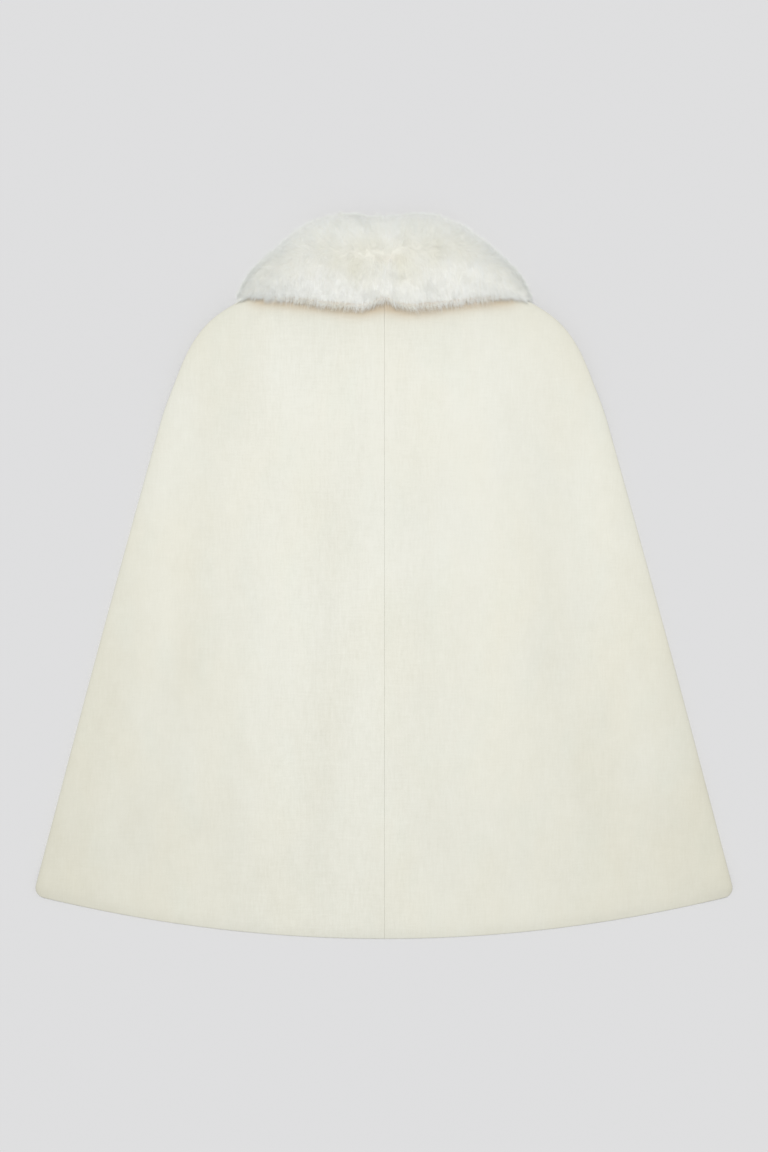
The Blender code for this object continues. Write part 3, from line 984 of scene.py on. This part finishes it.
# %% [markdown]
# Every point of the skin also says how its hairs lie: which way they are
# combed, how steeply they stand, how long they are, how many there are, how
# closely they gather, how cream they grow, and how much painted shade and
# painted warm shadow they get. The hairs read these values later. The
# collar parts along its middle: above the parting the hairs run up over the
# roll, below it they hang down to the fringe, and at the centre back they
# lean to both sides.

# %% The skin of the back fall
STATIONS = 110
OVER = [np.linspace(0, 0.08, 5), np.linspace(0.12, 0.92, 22), np.linspace(0.94, 1, 5)]
OVER = np.concatenate(OVER)
UNDER = np.linspace(0.97, 0.03, 20)
FALL_TOP = table_line(COLLAR_TOP)
MOST_INSET = 0.3
THINNER_ENDS = 2.4
REST_RISES = (0.35, 1)
LEAST_THICK = 1.5 * MM
BUMPS = (
    # how many on a metre, seed, height (mm)
    (42, 2.7, 1.3),
    (115, 6.1, 0.6),
)
BUMPS_START = (0.05, 0.35)
BUMPS_LEAST = 0.3
EDGE_THICK = 0.3
EDGE_SQUARE = 10


def fall_plan(station):
    """One cut in plan: its start, its run and the shares that the skin keeps."""
    hand = 1 if station >= 0 else -1
    start = at_share(FALL_LOW, 1 - abs(station)) * (hand, 1)
    run = at_share(FALL_TOP, 1 - abs(station)) * (hand, 1) - start
    length = np.linalg.norm(run)
    notch = math.exp(-((start[0] / NOTCH_WIDE) ** 2))
    first = min((LOW_INSET + NOTCH_DEEP * notch) / length, MOST_INSET)
    inset = ROLL_INSET * (1 + ROLL_INSET_ENDS * abs(station) ** 3)
    return start, run, first, 1 - min(inset / length, MOST_INSET)


def fall_bumps(x, y, share):
    """Small unevenness of the skin, less of it near the fringe."""
    total = 0
    for per_metre, seed, height in BUMPS:
        spots = [(a * per_metre, b * per_metre, seed) for a, b in zip(x, y)]
        total = total + height * MM * np.array([noise.noise(spot) for spot in spots])
    return total * (BUMPS_LEAST + (1 - BUMPS_LEAST) * smooth_step(*BUMPS_START, share))


def fall_cut(station, share):
    """The underside and the upper side of the skin along one cut."""
    start, run, first, last = fall_plan(station)
    at = first + (last - first) * share
    spots = start + run * at[:, None]
    x, y = spots.T
    fullness = math.sqrt(max(1 - abs(station) ** THINNER_ENDS, 0))
    depth = FALL_HEIGHT_END + (FALL_HEIGHT - FALL_HEIGHT_END) * fullness
    depth -= FALL_PARTING * math.exp(-((start[0] / PARTING_WIDE) ** 2))
    edge = float(under_fall(*start))
    rest = edge + (ROLL_RIM - edge) * smooth_step(*REST_RISES, at)
    rise = np.interp(at, *np.array(FALL_SECTION).T) * depth
    rise = rise * (SKIN_SHARE - SKIN_FALLING * abs(station) ** 3)
    lip = LIP_LIFT * fullness**2 * (1 - smooth_step(0, LIP_LONG, share))
    low = under_fall(x, y) + lip
    high = np.maximum(rest + rise + fall_bumps(x, y, share), low + LEAST_THICK)
    inside = np.sqrt(np.clip(1 - (2 * share - 1) ** EDGE_SQUARE, 0, 1))
    upper = low + (high - low) * (EDGE_THICK + (1 - EDGE_THICK) * inside)
    return np.column_stack([spots, low]), np.column_stack([spots, upper])


# %% How the hairs of the fall lie
LIE_WORDS = ("hair_length", "cover", "gather", "cream", "painted_shade", "painted_fringe_shadow")
WANDER = (
    # turns along the fall, place and seed of the noise, amount
    (3.7, 0.4, 2.2, 0.14),
    (11.0, 5.4, 1.2, 0.1),
)
TURN_AT_SIDES = 0.25
SPLAY = 0.5
SPLAY_SOON = 2.5
SPLAY_LESS = 0.6
END_OUT = 0.75
END_OUT_LESS = 0.3
END_DOWN = 1.1
FLATTER_ENDS = 0.5
DENSER_ENDS = 0.5
UP_THE_FALL = {
    # what: its value at the fringe, its change, the shares up where it changes
    "standing": (0.1, 0.22, 0.02, 0.4),
    "hair in millimetres": (17.0, -6.0, 0.1, 0.5),
    "cover": (0.65, 0.5, 0.02, 0.12),
    "gather": (1.0, -0.6, 0.0, 0.1),
    # A warm shadow is painted on the fringe's roots.
    "painted_fringe_shadow": (1.0, -1.0, 0.0, 0.05),
    "cream": (0.0, 0.1, 0.2, 0.5),
    # Painted shade: greyer towards the roll, and a painted lighter top edge.
    "painted_shade": (0.0, 0.45, 0.45, 0.85),
    "grey of the roll": (0.0, 0.2, 0.72, 0.85),
    "lighter edge": (0.0, -0.2, 0.9, 1.0),
}
# How much warmer cream the fringe's painted shadow adds.
FRINGE_PAINTED_WARMTH = 0.9
SHORTER_SIDES = 0.2
# Painted shade at the ends of the fall, more on the left end.
SIDE_PAINTED_SHADE = (0.45, 0.8)
SIDE_PAINTED_SHADE_MOST = 0.5
SIDE_PAINTED_SHADE_LEFT = 0.15
# Gather, cream, painted shade and painted fringe shadow
UNDERSIDE = (0.3, 2.0, 0.5, 0.0)
UNDER_FRINGE = 0.82
UNDER_NECK = 0.35
UNDER_NECK_ENDS = 0.5
# At the fringe, and further in
UNDER_HAIR = (8 * MM, 5 * MM)
UNDER_COVER = (0.5, 0.3)
UNDER_COMBED = 0.5
UNDER_STANDING = 0.3


def up_the_fall(word):
    """A value on the upper side of the fall, from the fringe to the roll."""
    start, change, low, high = UP_THE_FALL[word]
    return start + change * smooth_step(low, high, OVER)


def fall_way(station):
    """The direction of one cut, from the fringe to the roll."""
    run = fall_plan(station)[1]
    return run / np.linalg.norm(run)


def fall_lie(station, spots):
    """How the hairs lie on the upper side of one cut."""
    hand, outer = (1 if station >= 0 else -1), abs(station)
    turn = PARTING_AT + sum(
        amount * noise.noise((station * turns, place, seed))
        for turns, place, seed, amount in WANDER
    )
    turn = turn + TURN_AT_SIDES * outer**1.5
    up = smooth_step(turn - PARTING_SOFT, turn + PARTING_SOFT, OVER)
    combed = fall_way(station) * (2 * up - 1)[:, None]
    combed[:, 0] += SPLAY * np.tanh(station * SPLAY_SOON) * (1 - SPLAY_LESS * up)
    at_end = smooth_step(*END_TURN, outer)
    outward = hand * (END_OUT - END_OUT_LESS * OVER)
    over_end = np.column_stack([outward, OVER - END_DOWN])
    combed += (over_end - combed) * at_end
    shorter = smooth_step(*UP_THE_FALL["hair in millimetres"][2:], OVER)
    hair = up_the_fall("hair in millimetres")
    hair = hair * (1 - SHORTER_SIDES * outer**3 * shorter) * MM
    standing = up_the_fall("standing") * (1 - FLATTER_ENDS * station**6)
    cover = up_the_fall("cover") * (1 + DENSER_ENDS * at_end)
    painted_fringe_shadow = up_the_fall("painted_fringe_shadow")
    # At the fringe a warm shadow is painted: warmer cream, and no painted shade.
    cream = np.exp(-np.sum(((spots - CREAM_CENTRE) / CREAM_REACH) ** 2, axis=1))
    cream = up_the_fall("cream") + cream + FRINGE_PAINTED_WARMTH * painted_fringe_shadow
    # Painted shade: greyer towards the roll and the ends, lighter at the top edge.
    painted_shade = up_the_fall("painted_shade") + up_the_fall("grey of the roll")
    painted_shade = painted_shade + up_the_fall("lighter edge")
    side_painted_shade = SIDE_PAINTED_SHADE_MOST - SIDE_PAINTED_SHADE_LEFT * hand
    painted_shade = (painted_shade + side_painted_shade * smooth_step(*SIDE_PAINTED_SHADE, outer)) * (1 - painted_fringe_shadow)
    values = [combed, standing, hair, cover, up_the_fall("gather"), cream, painted_shade, painted_fringe_shadow]
    return np.column_stack(values)


def under_lie(station):
    """How the short hairs lie on the underside of one cut."""
    count = len(UNDER)
    at_fringe = UNDER > UNDER_FRINGE
    at_neck = (UNDER > UNDER_NECK) & (abs(station) < UNDER_NECK_ENDS)
    hair = np.where(at_fringe, *UNDER_HAIR)
    cover = np.select([at_fringe, at_neck], UNDER_COVER, 0.0)
    combed = np.tile(fall_way(station) * UNDER_COMBED, (count, 1))
    standing = np.full(count, UNDER_STANDING)
    plain = np.full((count, 4), UNDERSIDE)
    return np.column_stack([combed, standing, hair, cover, plain])


def fall_rings():
    """Rings of the skin, and how the hairs lie on each of their points."""
    rings, lies = [], []
    for station in np.linspace(-1 + END_INSET, 1 - END_INSET, STATIONS):
        upper, lower = fall_cut(station, OVER)[1], fall_cut(station, UNDER)[0]
        rings.append(np.concatenate([upper, lower]))
        lies += [fall_lie(station, upper[:, :2]), under_lie(station)]
    return rings, np.concatenate(lies)


def read_points(points, name, width=1):
    """The values that points keep, as one array."""
    values = np.zeros(len(points) * width)
    points.foreach_get(name, values)
    return values


def store_lie(mesh, values):
    """Keeps the hairs' values on the points of a skin."""
    normal = read_points(mesh.vertices, "normal", 3).reshape(-1, 3)
    combed = np.column_stack([values[:, :2], np.zeros(len(normal))])
    combed = combed - normal * np.sum(combed * normal, axis=1, keepdims=True)
    lie = normal * values[:, 2:3] + combed
    lie /= np.maximum(np.linalg.norm(lie, axis=1, keepdims=True), 1e-9)
    for name, data in (("comb", combed), ("lie", lie)):
        layer = mesh.attributes.new(name, "FLOAT_VECTOR", "POINT")
        layer.data.foreach_set("vector", data.ravel())
    for name, data in zip(LIE_WORDS, values[:, 3:].T):
        layer = mesh.attributes.new(name, "FLOAT", "POINT")
        layer.data.foreach_set("value", data.copy())


rings, lies = fall_rings()
fall_skin = loft_mesh("collar_back_skin", rings)
store_lie(fall_skin, lies)
print(f"the skin of the back fall has {count_triangles(fall_skin)} triangles")


# %% The skins of the collar's fronts
FRONT_STATIONS = np.linspace(0.03, 0.985, 64)
FRONT_CLEAR = 1.2 * MM
FRONT_INSET_ROLL = 0.7 * FRONT_INSET
FRONT_INSET_MOST = (0.2, 0.25)
FRONT_SLIM = 0.35
LAST_UPPER = 7
FRONT_SHARE, FRONT_HIGH = np.array(FRONT_SECTION).T
FRONT_BELOW = np.arange(len(FRONT_SHARE)) > LAST_UPPER
FRONT_RIM = (FRONT_SHARE < 0.06) | (FRONT_SHARE > 0.94)
FRONT_OUTER = FRONT_SHARE > 0.85
FRONT_OUTWARD = np.clip(2.2 * FRONT_SHARE - 0.4, -1, 1)
# Below and above: how steep the hairs are, how long, and how much longer in sight
FRONT_STANDING = (0.16, 0.4)
FRONT_HAIR = (9.5, 9.0)
FRONT_HAIR_MORE = (2, 4.5)
FRONT_COVER_SHOWS = 9
FRONT_COVER_START = 4
FRONT_GATHER = 0.3
# Painted shade on the fronts' fur, more where it shows.
FRONT_PAINTED_SHADE = 0.15


def front_cut(station, start, end):
    """One ring of the skin between two points of the collar's edges."""
    length = np.linalg.norm(end - start)
    way = (end - start) / length
    at_roll, at_edge = FRONT_INSET_MOST
    first = start + way * min(FRONT_INSET_ROLL, at_roll * length)
    last = end - way * min(FRONT_INSET, at_edge * length)
    x, y = (first + (last - first) * FRONT_SHARE[:, None]).T
    slim = FRONT_SLIM + (1 - FRONT_SLIM) * smooth_step(0, FRONT_STARTS, station)
    z = np.minimum(FRONT_HIGH * slim * MM, front_under(x, y) - FRONT_CLEAR)
    return np.column_stack([x, y, z])


def front_lie(station, start, end):
    """How the hairs lie on one ring: longer and denser where they show."""
    way = (end - start) / np.linalg.norm(end - start)
    shows = 1 - smooth_step(*FRONT_SHOWS, station)
    low, high = (a + b * shows for a, b in zip(FRONT_HAIR, FRONT_HAIR_MORE))
    hair = np.where(FRONT_BELOW, low, high) * MM
    cover = np.where(FRONT_BELOW | FRONT_RIM, 1.0, 0.0)
    cover = cover + FRONT_COVER_SHOWS * shows * FRONT_OUTER
    cover = cover + FRONT_COVER_START * (1 - smooth_step(0, FRONT_STARTS, station))
    standing = np.where(FRONT_BELOW, *FRONT_STANDING)
    painted_shade = FRONT_PAINTED_SHADE + FRONT_PAINTED_SHADE * shows
    plain = np.full((len(FRONT_SHARE), 4), (FRONT_GATHER, 0.0, painted_shade, 0.0))
    combed = way * FRONT_OUTWARD[:, None]
    return np.column_stack([combed, standing, hair, cover, plain])


def front_skin(name, side):
    """The skin of one of the collar's fronts, with how its hairs lie."""
    rolls, edges = table_line(FRONT_COLLAR, 1), table_line(FRONT_COLLAR, 3)
    rings, lies = [], []
    for station in FRONT_STATIONS:
        ends = at_share(rolls, station), at_share(edges, station)
        rings.append(front_cut(station, *ends) * (side, 1, 1))
        lies.append(front_lie(station, *ends))
    lies = np.concatenate(lies)
    lies[:, 0] *= side
    mesh = loft_mesh(name, rings)
    store_lie(mesh, lies)
    return mesh


front_skins = {
    word: front_skin(f"collar_front_{word}_skin", hand)
    for word, hand in (("left", -1), ("right", 1))
}

# %% [markdown]
# ## Fur
#
# Hair by hair, fur is simple: a thin spike that bends over. What makes it
# fur is how the hairs gather: their tips lean together into locks, and each
# lock leans its own way. A Voronoi pattern gives each hair the centre of
# its lock, and the hair is pulled towards it. Geometry Nodes scatter the
# hairs on the skin, turn and scale them, and turn them into real faces.


# %% One hair
HAIR_RADIUS = 0.0072
HAIR_MIDDLE = 0.42
HAIR_BEND = 0.26
HAIR_SIDES = 3


def hair_mesh():
    """One bent spindle, one unit long along Z."""
    bm = bmesh.new()
    root = bm.verts.new((0, 0, 0))
    tip = bm.verts.new((HAIR_BEND, 0, 1))
    turns = [2 * math.pi * k / HAIR_SIDES for k in range(HAIR_SIDES)]
    spots = [(HAIR_RADIUS * math.cos(t), HAIR_RADIUS * math.sin(t)) for t in turns]
    ring = [bm.verts.new((x, y, HAIR_MIDDLE)) for x, y in spots]
    for k in range(HAIR_SIDES):
        j = (k + 1) % HAIR_SIDES
        bm.faces.new([root, ring[j], ring[k]])
        bm.faces.new([tip, ring[k], ring[j]])
    mesh = bpy.data.meshes.new("hair")
    bm.to_mesh(mesh)
    bm.free()
    along = mesh.attributes.new("along", "FLOAT", "POINT")
    along.data.foreach_set("value", [v.co.z for v in mesh.vertices])
    return mesh


hair = bpy.data.objects.new("hair", hair_mesh())


# %% Fur as a node tree
WISPS = 330.0
TUFTS = 130.0
TUFT_TURN = 0.55
SWIRLS = 32.0
SWIRL_TURN = 0.55
SWIRL_UP = 0.7
CREAM_CLOUDS = 48.0
STREAK = (1.0, 0.4, 0.6)
FLAT_PULL = (1.0, 1.0, 0.15)
LOCK_SHADE = 0.1
LOCK_TONE = 0.08
TUFT_SHADE = 0.25
HAIR_TONE = 0.12
LENGTHS = (0.72, 1.03)
LOCK_LENGTH = 0.38
TUFT_LENGTH = (0.4, 0.8)
CREAM_SWING = (2.6, -0.75)
LOOSE_FROM = 1.15
UNEVEN_FROM = 1.35
STRAY_SEED, LENGTH_SEED, TONE_SEED = 11, 5, 23
TREE_INPUTS = (
    ("Skin", "NodeSocketGeometry"),
    ("Hair", "NodeSocketObject"),
    ("Hairs per square metre", "NodeSocketFloat"),
    ("Unruly", "NodeSocketFloat"),
    ("Seed", "NodeSocketInt"),
    ("Material", "NodeSocketMaterial"),
)


def read_value(tree, name, kind="FLOAT"):
    """A value that the skin keeps on its points."""
    return result(add_node(tree, "GeometryNodeInputNamedAttribute", name, data_type=kind))


def random_value(tree, low, high, seed, kind="FLOAT"):
    """A random number or direction for each hair."""
    node = add_node(tree, "FunctionNodeRandomValue", low, high, None, seed, data_type=kind)
    return result(node)


def swirl(tree, place, per_metre, amount):
    """A slow random direction that changes smoothly over the skin."""
    field = add_node(tree, "ShaderNodeTexNoise", place, per_metre, 1.0)
    turn = do_vectors(tree, "SUBTRACT", result(field, "Color"), (0.5, 0.5, 0.5))
    return do_vectors(tree, "MULTIPLY", turn, (amount, amount, SWIRL_UP * amount))


def store_value(tree, points, name, value):
    """Keeps a value on points, so that it follows the hairs."""
    node = "GeometryNodeStoreNamedAttribute"
    return result(add_node(tree, node, points, None, name, value))


def turn_to(tree, rotation, way, **axes):
    """A rotation that turns an axis of each hair to a direction."""
    node = "FunctionNodeAlignRotationToVector"
    return result(add_node(tree, node, rotation, None, way, **axes))


def hair_turn(tree, place, wisps, length, gather, unruly):
    """The rotation of each hair: combed, swirled and pulled to its lock."""
    pull = do_vectors(tree, "SUBTRACT", result(wisps, "Position"), place)
    pull = do_vectors(tree, "MULTIPLY", pull, FLAT_PULL)
    pull = do_vectors(tree, "SCALE", pull, do_maths(tree, "DIVIDE", gather, length))
    stray = random_value(tree, (-1, -1, -1), (1, 1, 1), STRAY_SEED, "FLOAT_VECTOR")
    loose = do_maths(tree, "SUBTRACT", LOOSE_FROM, gather)
    stray = do_vectors(tree, "SCALE", stray, do_maths(tree, "MULTIPLY", unruly, loose))
    way = read_value(tree, "lie", "FLOAT_VECTOR")
    large = swirl(tree, place, SWIRLS, SWIRL_TURN)
    small = swirl(tree, place, TUFTS, TUFT_TURN)
    for change in (large, small, pull, stray):
        way = do_vectors(tree, "ADD", way, change)
    upright = turn_to(tree, None, way, axis="Z")
    bend = do_vectors(tree, "ADD", read_value(tree, "comb", "FLOAT_VECTOR"), stray)
    return turn_to(tree, upright, bend, axis="X", pivot_axis="Z")


def hair_size(tree, lock, patch, length, gather):
    """How long each hair is: uneven by hair, by lock and by tuft."""
    uneven = do_maths(tree, "SUBTRACT", UNEVEN_FROM, gather)
    uneven = do_maths(tree, "MULTIPLY", uneven, LOCK_LENGTH)
    tall = do_maths(tree, "SUBTRACT", 1.0, do_maths(tree, "MULTIPLY", lock["X"], uneven))
    tall = do_maths(tree, "MULTIPLY", tall, random_value(tree, *LENGTHS, LENGTH_SEED))
    tufted = do_maths(tree, "MULTIPLY_ADD", patch, *TUFT_LENGTH)
    return do_maths(tree, "MULTIPLY", do_maths(tree, "MULTIPLY", tall, length), tufted)


def hair_colours(tree, points, place, lock, patch):
    """Keeps on each root how cream its hair is, its painted shade with its own tone, and the
    fringe's painted warm shadow.
    """
    clouds = result(add_node(tree, "ShaderNodeTexNoise", place, CREAM_CLOUDS))
    clouds = do_maths(tree, "MULTIPLY_ADD", clouds, *CREAM_SWING)
    cream = do_maths(tree, "MULTIPLY", read_value(tree, "cream"), clouds)
    own = random_value(tree, 0.0, 1.0, TONE_SEED)
    tone = do_maths(tree, "MULTIPLY_ADD", own, HAIR_TONE, cream)
    tone = add_up(tree, tone, centred(tree, lock["Y"], LOCK_TONE))
    by_lock = centred(tree, lock["Z"], LOCK_SHADE)
    by_tuft = centred(tree, patch, TUFT_SHADE)
    # The painted shade, with each lock's and tuft's own tone.
    shade = add_up(tree, read_value(tree, "painted_shade"), by_lock, by_tuft)
    points = store_value(tree, points, "tone", tone)
    points = store_value(tree, points, "shade", shade)
    # The fringe's painted warm shadow follows the hairs.
    return store_value(tree, points, "painted_root_shadow", read_value(tree, "painted_fringe_shadow"))


def fur_tree():
    """Scatters hairs on a skin, in locks, and makes them real faces."""
    tree = bpy.data.node_groups.new("fur on a skin", "GeometryNodeTree")
    for name, kind in TREE_INPUTS:
        tree.interface.new_socket(name, in_out="INPUT", socket_type=kind)
    tree.interface.new_socket("Fur", in_out="OUTPUT", socket_type="NodeSocketGeometry")
    given = tree.nodes.new("NodeGroupInput").outputs
    cover = read_value(tree, "cover")
    dense = do_maths(tree, "MULTIPLY", cover, given["Hairs per square metre"])
    scatter = "GeometryNodeDistributePointsOnFaces"
    roots = result(add_node(tree, scatter, given["Skin"], None, dense, given["Seed"]))
    place = result(tree.nodes.new("GeometryNodeInputPosition"))
    length, gather = read_value(tree, "hair_length"), read_value(tree, "gather")
    wisps = add_node(tree, "ShaderNodeTexVoronoi", place, WISPS)
    lock = add_node(tree, "ShaderNodeSeparateXYZ", result(wisps, "Color")).outputs
    streaks = do_vectors(tree, "MULTIPLY", place, STREAK)
    patch = result(add_node(tree, "ShaderNodeTexNoise", streaks, TUFTS))
    shape = result(add_node(tree, "GeometryNodeObjectInfo", given["Hair"]), "Geometry")
    hairs = tree.nodes.new("GeometryNodeInstanceOnPoints")
    growth = {
        "Points": hair_colours(tree, roots, place, lock, patch),
        "Instance": shape,
        "Rotation": hair_turn(tree, place, wisps, length, gather, given["Unruly"]),
        "Scale": hair_size(tree, lock, patch, length, gather),
    }
    feed_named(tree, hairs, growth)
    real = result(add_node(tree, "GeometryNodeRealizeInstances", result(hairs)))
    dyed = add_node(tree, "GeometryNodeSetMaterial", real, None, given["Material"])
    add_node(tree, "NodeGroupOutput", result(dyed))
    return tree


FUR_TREE = fur_tree()


# %% [markdown]
# ## The colour of fur
#
# White fur isn't plain white. Near the skin it is a warm cream, and the tips
# are a cooler, brighter white. Each hair keeps how far along it a point is,
# so the colour follows the hair, and each lock has its own tone. Shade is
# painted in too: greyer towards the roll and the ends, and a warm brownish
# shadow at the roots of the fringe. Light also passes through thin hairs,
# and a very faint glow, painted light, stands in for it.


# %% The fur's and the skin's material
FUR_ROOT = (0.91, 0.90, 0.85)
FUR_TIP = (0.955, 0.97, 0.965)
FUR_TONE = (0.90, 0.895, 0.80)
FUR_SHADE_TINT = (0.86, 0.87, 0.865)
PAINTED_ROOT_SHADOW_TINT = (0.78, 0.63, 0.5)
FUR_GLOW = 0.065
ROOT_FADE = 0.6
ROOT_SHADOW_FADE = -1.8


def make_fur_material():
    """White fur, cream near the skin, with painted shade and a painted warm shadow at the
    roots of the fringe.
    """
    material, tree, shader = new_material("white fur", 0.75)
    along = read_on_mesh(tree, "along")
    rising = do_maths(tree, "POWER", along, ROOT_FADE)
    tip = mix_colours(tree, read_on_mesh(tree, "tone"), FUR_TIP, FUR_TONE)
    colour = mix_colours(tree, rising, FUR_ROOT, tip)
    # Painted shade, with each lock's and tuft's own tone.
    colour = tint(tree, read_on_mesh(tree, "shade"), colour, FUR_SHADE_TINT)
    # A warm shadow painted at the roots of the fringe's hairs.
    near_root = do_maths(tree, "MULTIPLY_ADD", along, ROOT_SHADOW_FADE, read_on_mesh(tree, "painted_root_shadow"))
    colour = tint(tree, near_root, colour, PAINTED_ROOT_SHADOW_TINT)
    finish = {
        "Base Color": colour,
        "Emission Color": colour,
        "Emission Strength": FUR_GLOW,
        "Specular IOR Level": 0.2,
    }
    feed_named(tree, shader, finish)
    return material


UNDERFUR_GRAIN = (900, 900, 900)
UNDERFUR_GRAIN_SHARE = 0.6
UNDERFUR_TUFTS = (160, 160, 160)
UNDERFUR_TUFT_SWING = 0.2
UNDERFUR_BUMP = (0.8, 0.8 * MM)
UNDERFUR_DARK = (0.86, 0.85, 0.78)
UNDERFUR_LIGHT = (0.915, 0.91, 0.86)
BACKING = (0.60, 0.44, 0.30)


def make_skin_material():
    """The dense cream underfur that shows where the hairs part."""
    material, tree, shader = new_material("underfur", 0.95)
    fine = noise_on(tree, UNDERFUR_GRAIN, rough=0.7)
    fine = do_maths(tree, "MULTIPLY", fine, UNDERFUR_GRAIN_SHARE)
    tuft = centred(tree, noise_on(tree, UNDERFUR_TUFTS, 2.0), UNDERFUR_TUFT_SWING)
    tone = add_up(tree, fine, tuft)
    colour = mix_colours(tree, tone, UNDERFUR_DARK, UNDERFUR_LIGHT)
    under = do_maths(tree, "SUBTRACT", read_on_mesh(tree, "cream"), 1.0)
    colour = mix_colours(tree, under, colour, BACKING)
    normal = bump(tree, tone, *UNDERFUR_BUMP)
    feed_named(tree, shader, {"Base Color": colour, "Normal": normal})
    return material


fur_material = make_fur_material()
underfur = make_skin_material()

# %% [markdown]
# ## Grow the fur
#
# The fall is too large for one piece of fur, so it grows in four stretches
# side by side. They share one skin, and each stretch only masks the others'
# hairs. After the tree has run, the hairs are a plain mesh of their own.

# %% Hairs on the skins
UNRULY = 0.18
FLOOR_CLEAR = 0.3 * MM
FLOOR_SOFT = 0.9 * MM


def socket_id(tree, name):
    """The identifier of a tree's input."""
    return next(i.identifier for i in tree.interface.items_tree if i.name == name)


def off_the_floor(mesh):
    """Bends the hairs softly over the floor, so that none is cut flat by it."""
    spots = read_points(mesh.vertices, "co", 3)
    above = np.maximum(spots[2::3], FLOOR_CLEAR + FLOOR_SOFT)
    below = np.minimum(spots[2::3] - FLOOR_CLEAR - FLOOR_SOFT, 0)
    spots[2::3] = above - FLOOR_SOFT * (1 - np.exp(below / FLOOR_SOFT))
    mesh.vertices.foreach_set("co", spots)


def grow(name, skin, mask, density, seed):
    """Grows fur on the part of a skin that the mask keeps."""
    mesh = skin.copy()
    layer = mesh.attributes["cover"].data
    layer.foreach_set("value", read_points(layer, "value") * mask)
    scratch = bpy.data.objects.new(name, mesh)
    bpy.context.scene.collection.objects.link(scratch)
    nodes = scratch.modifiers.new("Fur", "NODES")
    nodes.node_group = FUR_TREE
    inputs = {
        "Hair": hair,
        "Hairs per square metre": density,
        "Unruly": UNRULY,
        "Seed": seed,
        "Material": fur_material,
    }
    for word, value in inputs.items():
        nodes[socket_id(FUR_TREE, word)] = value
    depsgraph = bpy.context.evaluated_depsgraph_get()
    fur = bpy.data.meshes.new_from_object(scratch.evaluated_get(depsgraph))
    bpy.data.objects.remove(scratch)
    for word in ("comb", "lie", *LIE_WORDS):
        if word in fur.attributes:
            fur.attributes.remove(fur.attributes[word])
    fur.shade_flat()
    off_the_floor(fur)
    add_piece(name, fur, fur_material, None)
    print(f"{name}: {count_triangles(fur)} triangles")


across = read_points(fall_skin.vertices, "co", 3)[::3]
STRETCHES = (
    # name, from x, to x (mm)
    ("fur_fall_left_outer", -200, -72),
    ("fur_fall_left_inner", -72, 0),
    ("fur_fall_right_inner", 0, 72),
    ("fur_fall_right_outer", 72, 200),
)
FALL_DENSITY = 2.75e6
FALL_SEED = 10
for number, (name, low, high) in enumerate(STRETCHES):
    mask = (across > low * MM) & (across <= high * MM)
    grow(name, fall_skin, mask, FALL_DENSITY, FALL_SEED + number)
FRONT_DENSITY = 0.25e6
FRONT_SEED = 30
for number, (word, skin) in enumerate(front_skins.items()):
    grow("fur_front_" + word, skin, 1.0, FRONT_DENSITY, FRONT_SEED + number)

add_piece("collar_back_skin", fall_skin, underfur, "collar_back")
for word, skin in front_skins.items():
    node = "collar_front_" + word
    add_piece(node + "_skin", skin, underfur, node)
bpy.data.objects.remove(hair)

# %% [markdown]
# ## Hook and bar
#
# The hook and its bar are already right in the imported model, so they stay.
# They only get brushed metal: fine scratches along one direction, and small
# changes in gloss.


# %% Brushed metal
NICKEL_LIGHT = (0.62, 0.60, 0.57)
NICKEL_DARK = (0.50, 0.49, 0.46)
SCRATCHES = (300, 4000, 4000)
SCRATCH_ROUGHNESS = (0.25, 0.22)


def make_metal():
    """Brushed nickel with fine scratches."""
    material, tree, shader = new_material("brushed nickel", 0.35)
    scratch = noise_on(tree, SCRATCHES, 2.0)
    finish = {
        "Base Color": mix_colours(tree, scratch, NICKEL_LIGHT, NICKEL_DARK),
        "Metallic": 1.0,
        "Roughness": do_maths(tree, "MULTIPLY_ADD", scratch, *SCRATCH_ROUGHNESS),
    }
    feed_named(tree, shader, finish)
    return material


metal = make_metal()
for name in ("hook", "hook_bar"):
    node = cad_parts[name]
    node.data.materials.clear()
    node.data.materials.append(metal)

# %% [markdown]
# ## Sizes, and the end
#
# The box of the imported coat and the box of the dressed one, where cloth
# and hairs may stand a little proud, are both printed. The dressed coat has to
# stay in the imported one's box, apart from what cloth and hairs may stand
# proud.

# %% Write the two boxes
low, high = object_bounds()
print("packed box ", [round(v, 4) for v in (*cad_low, *cad_high)])
print("visible box", [round(v, 4) for v in (*low, *high)])
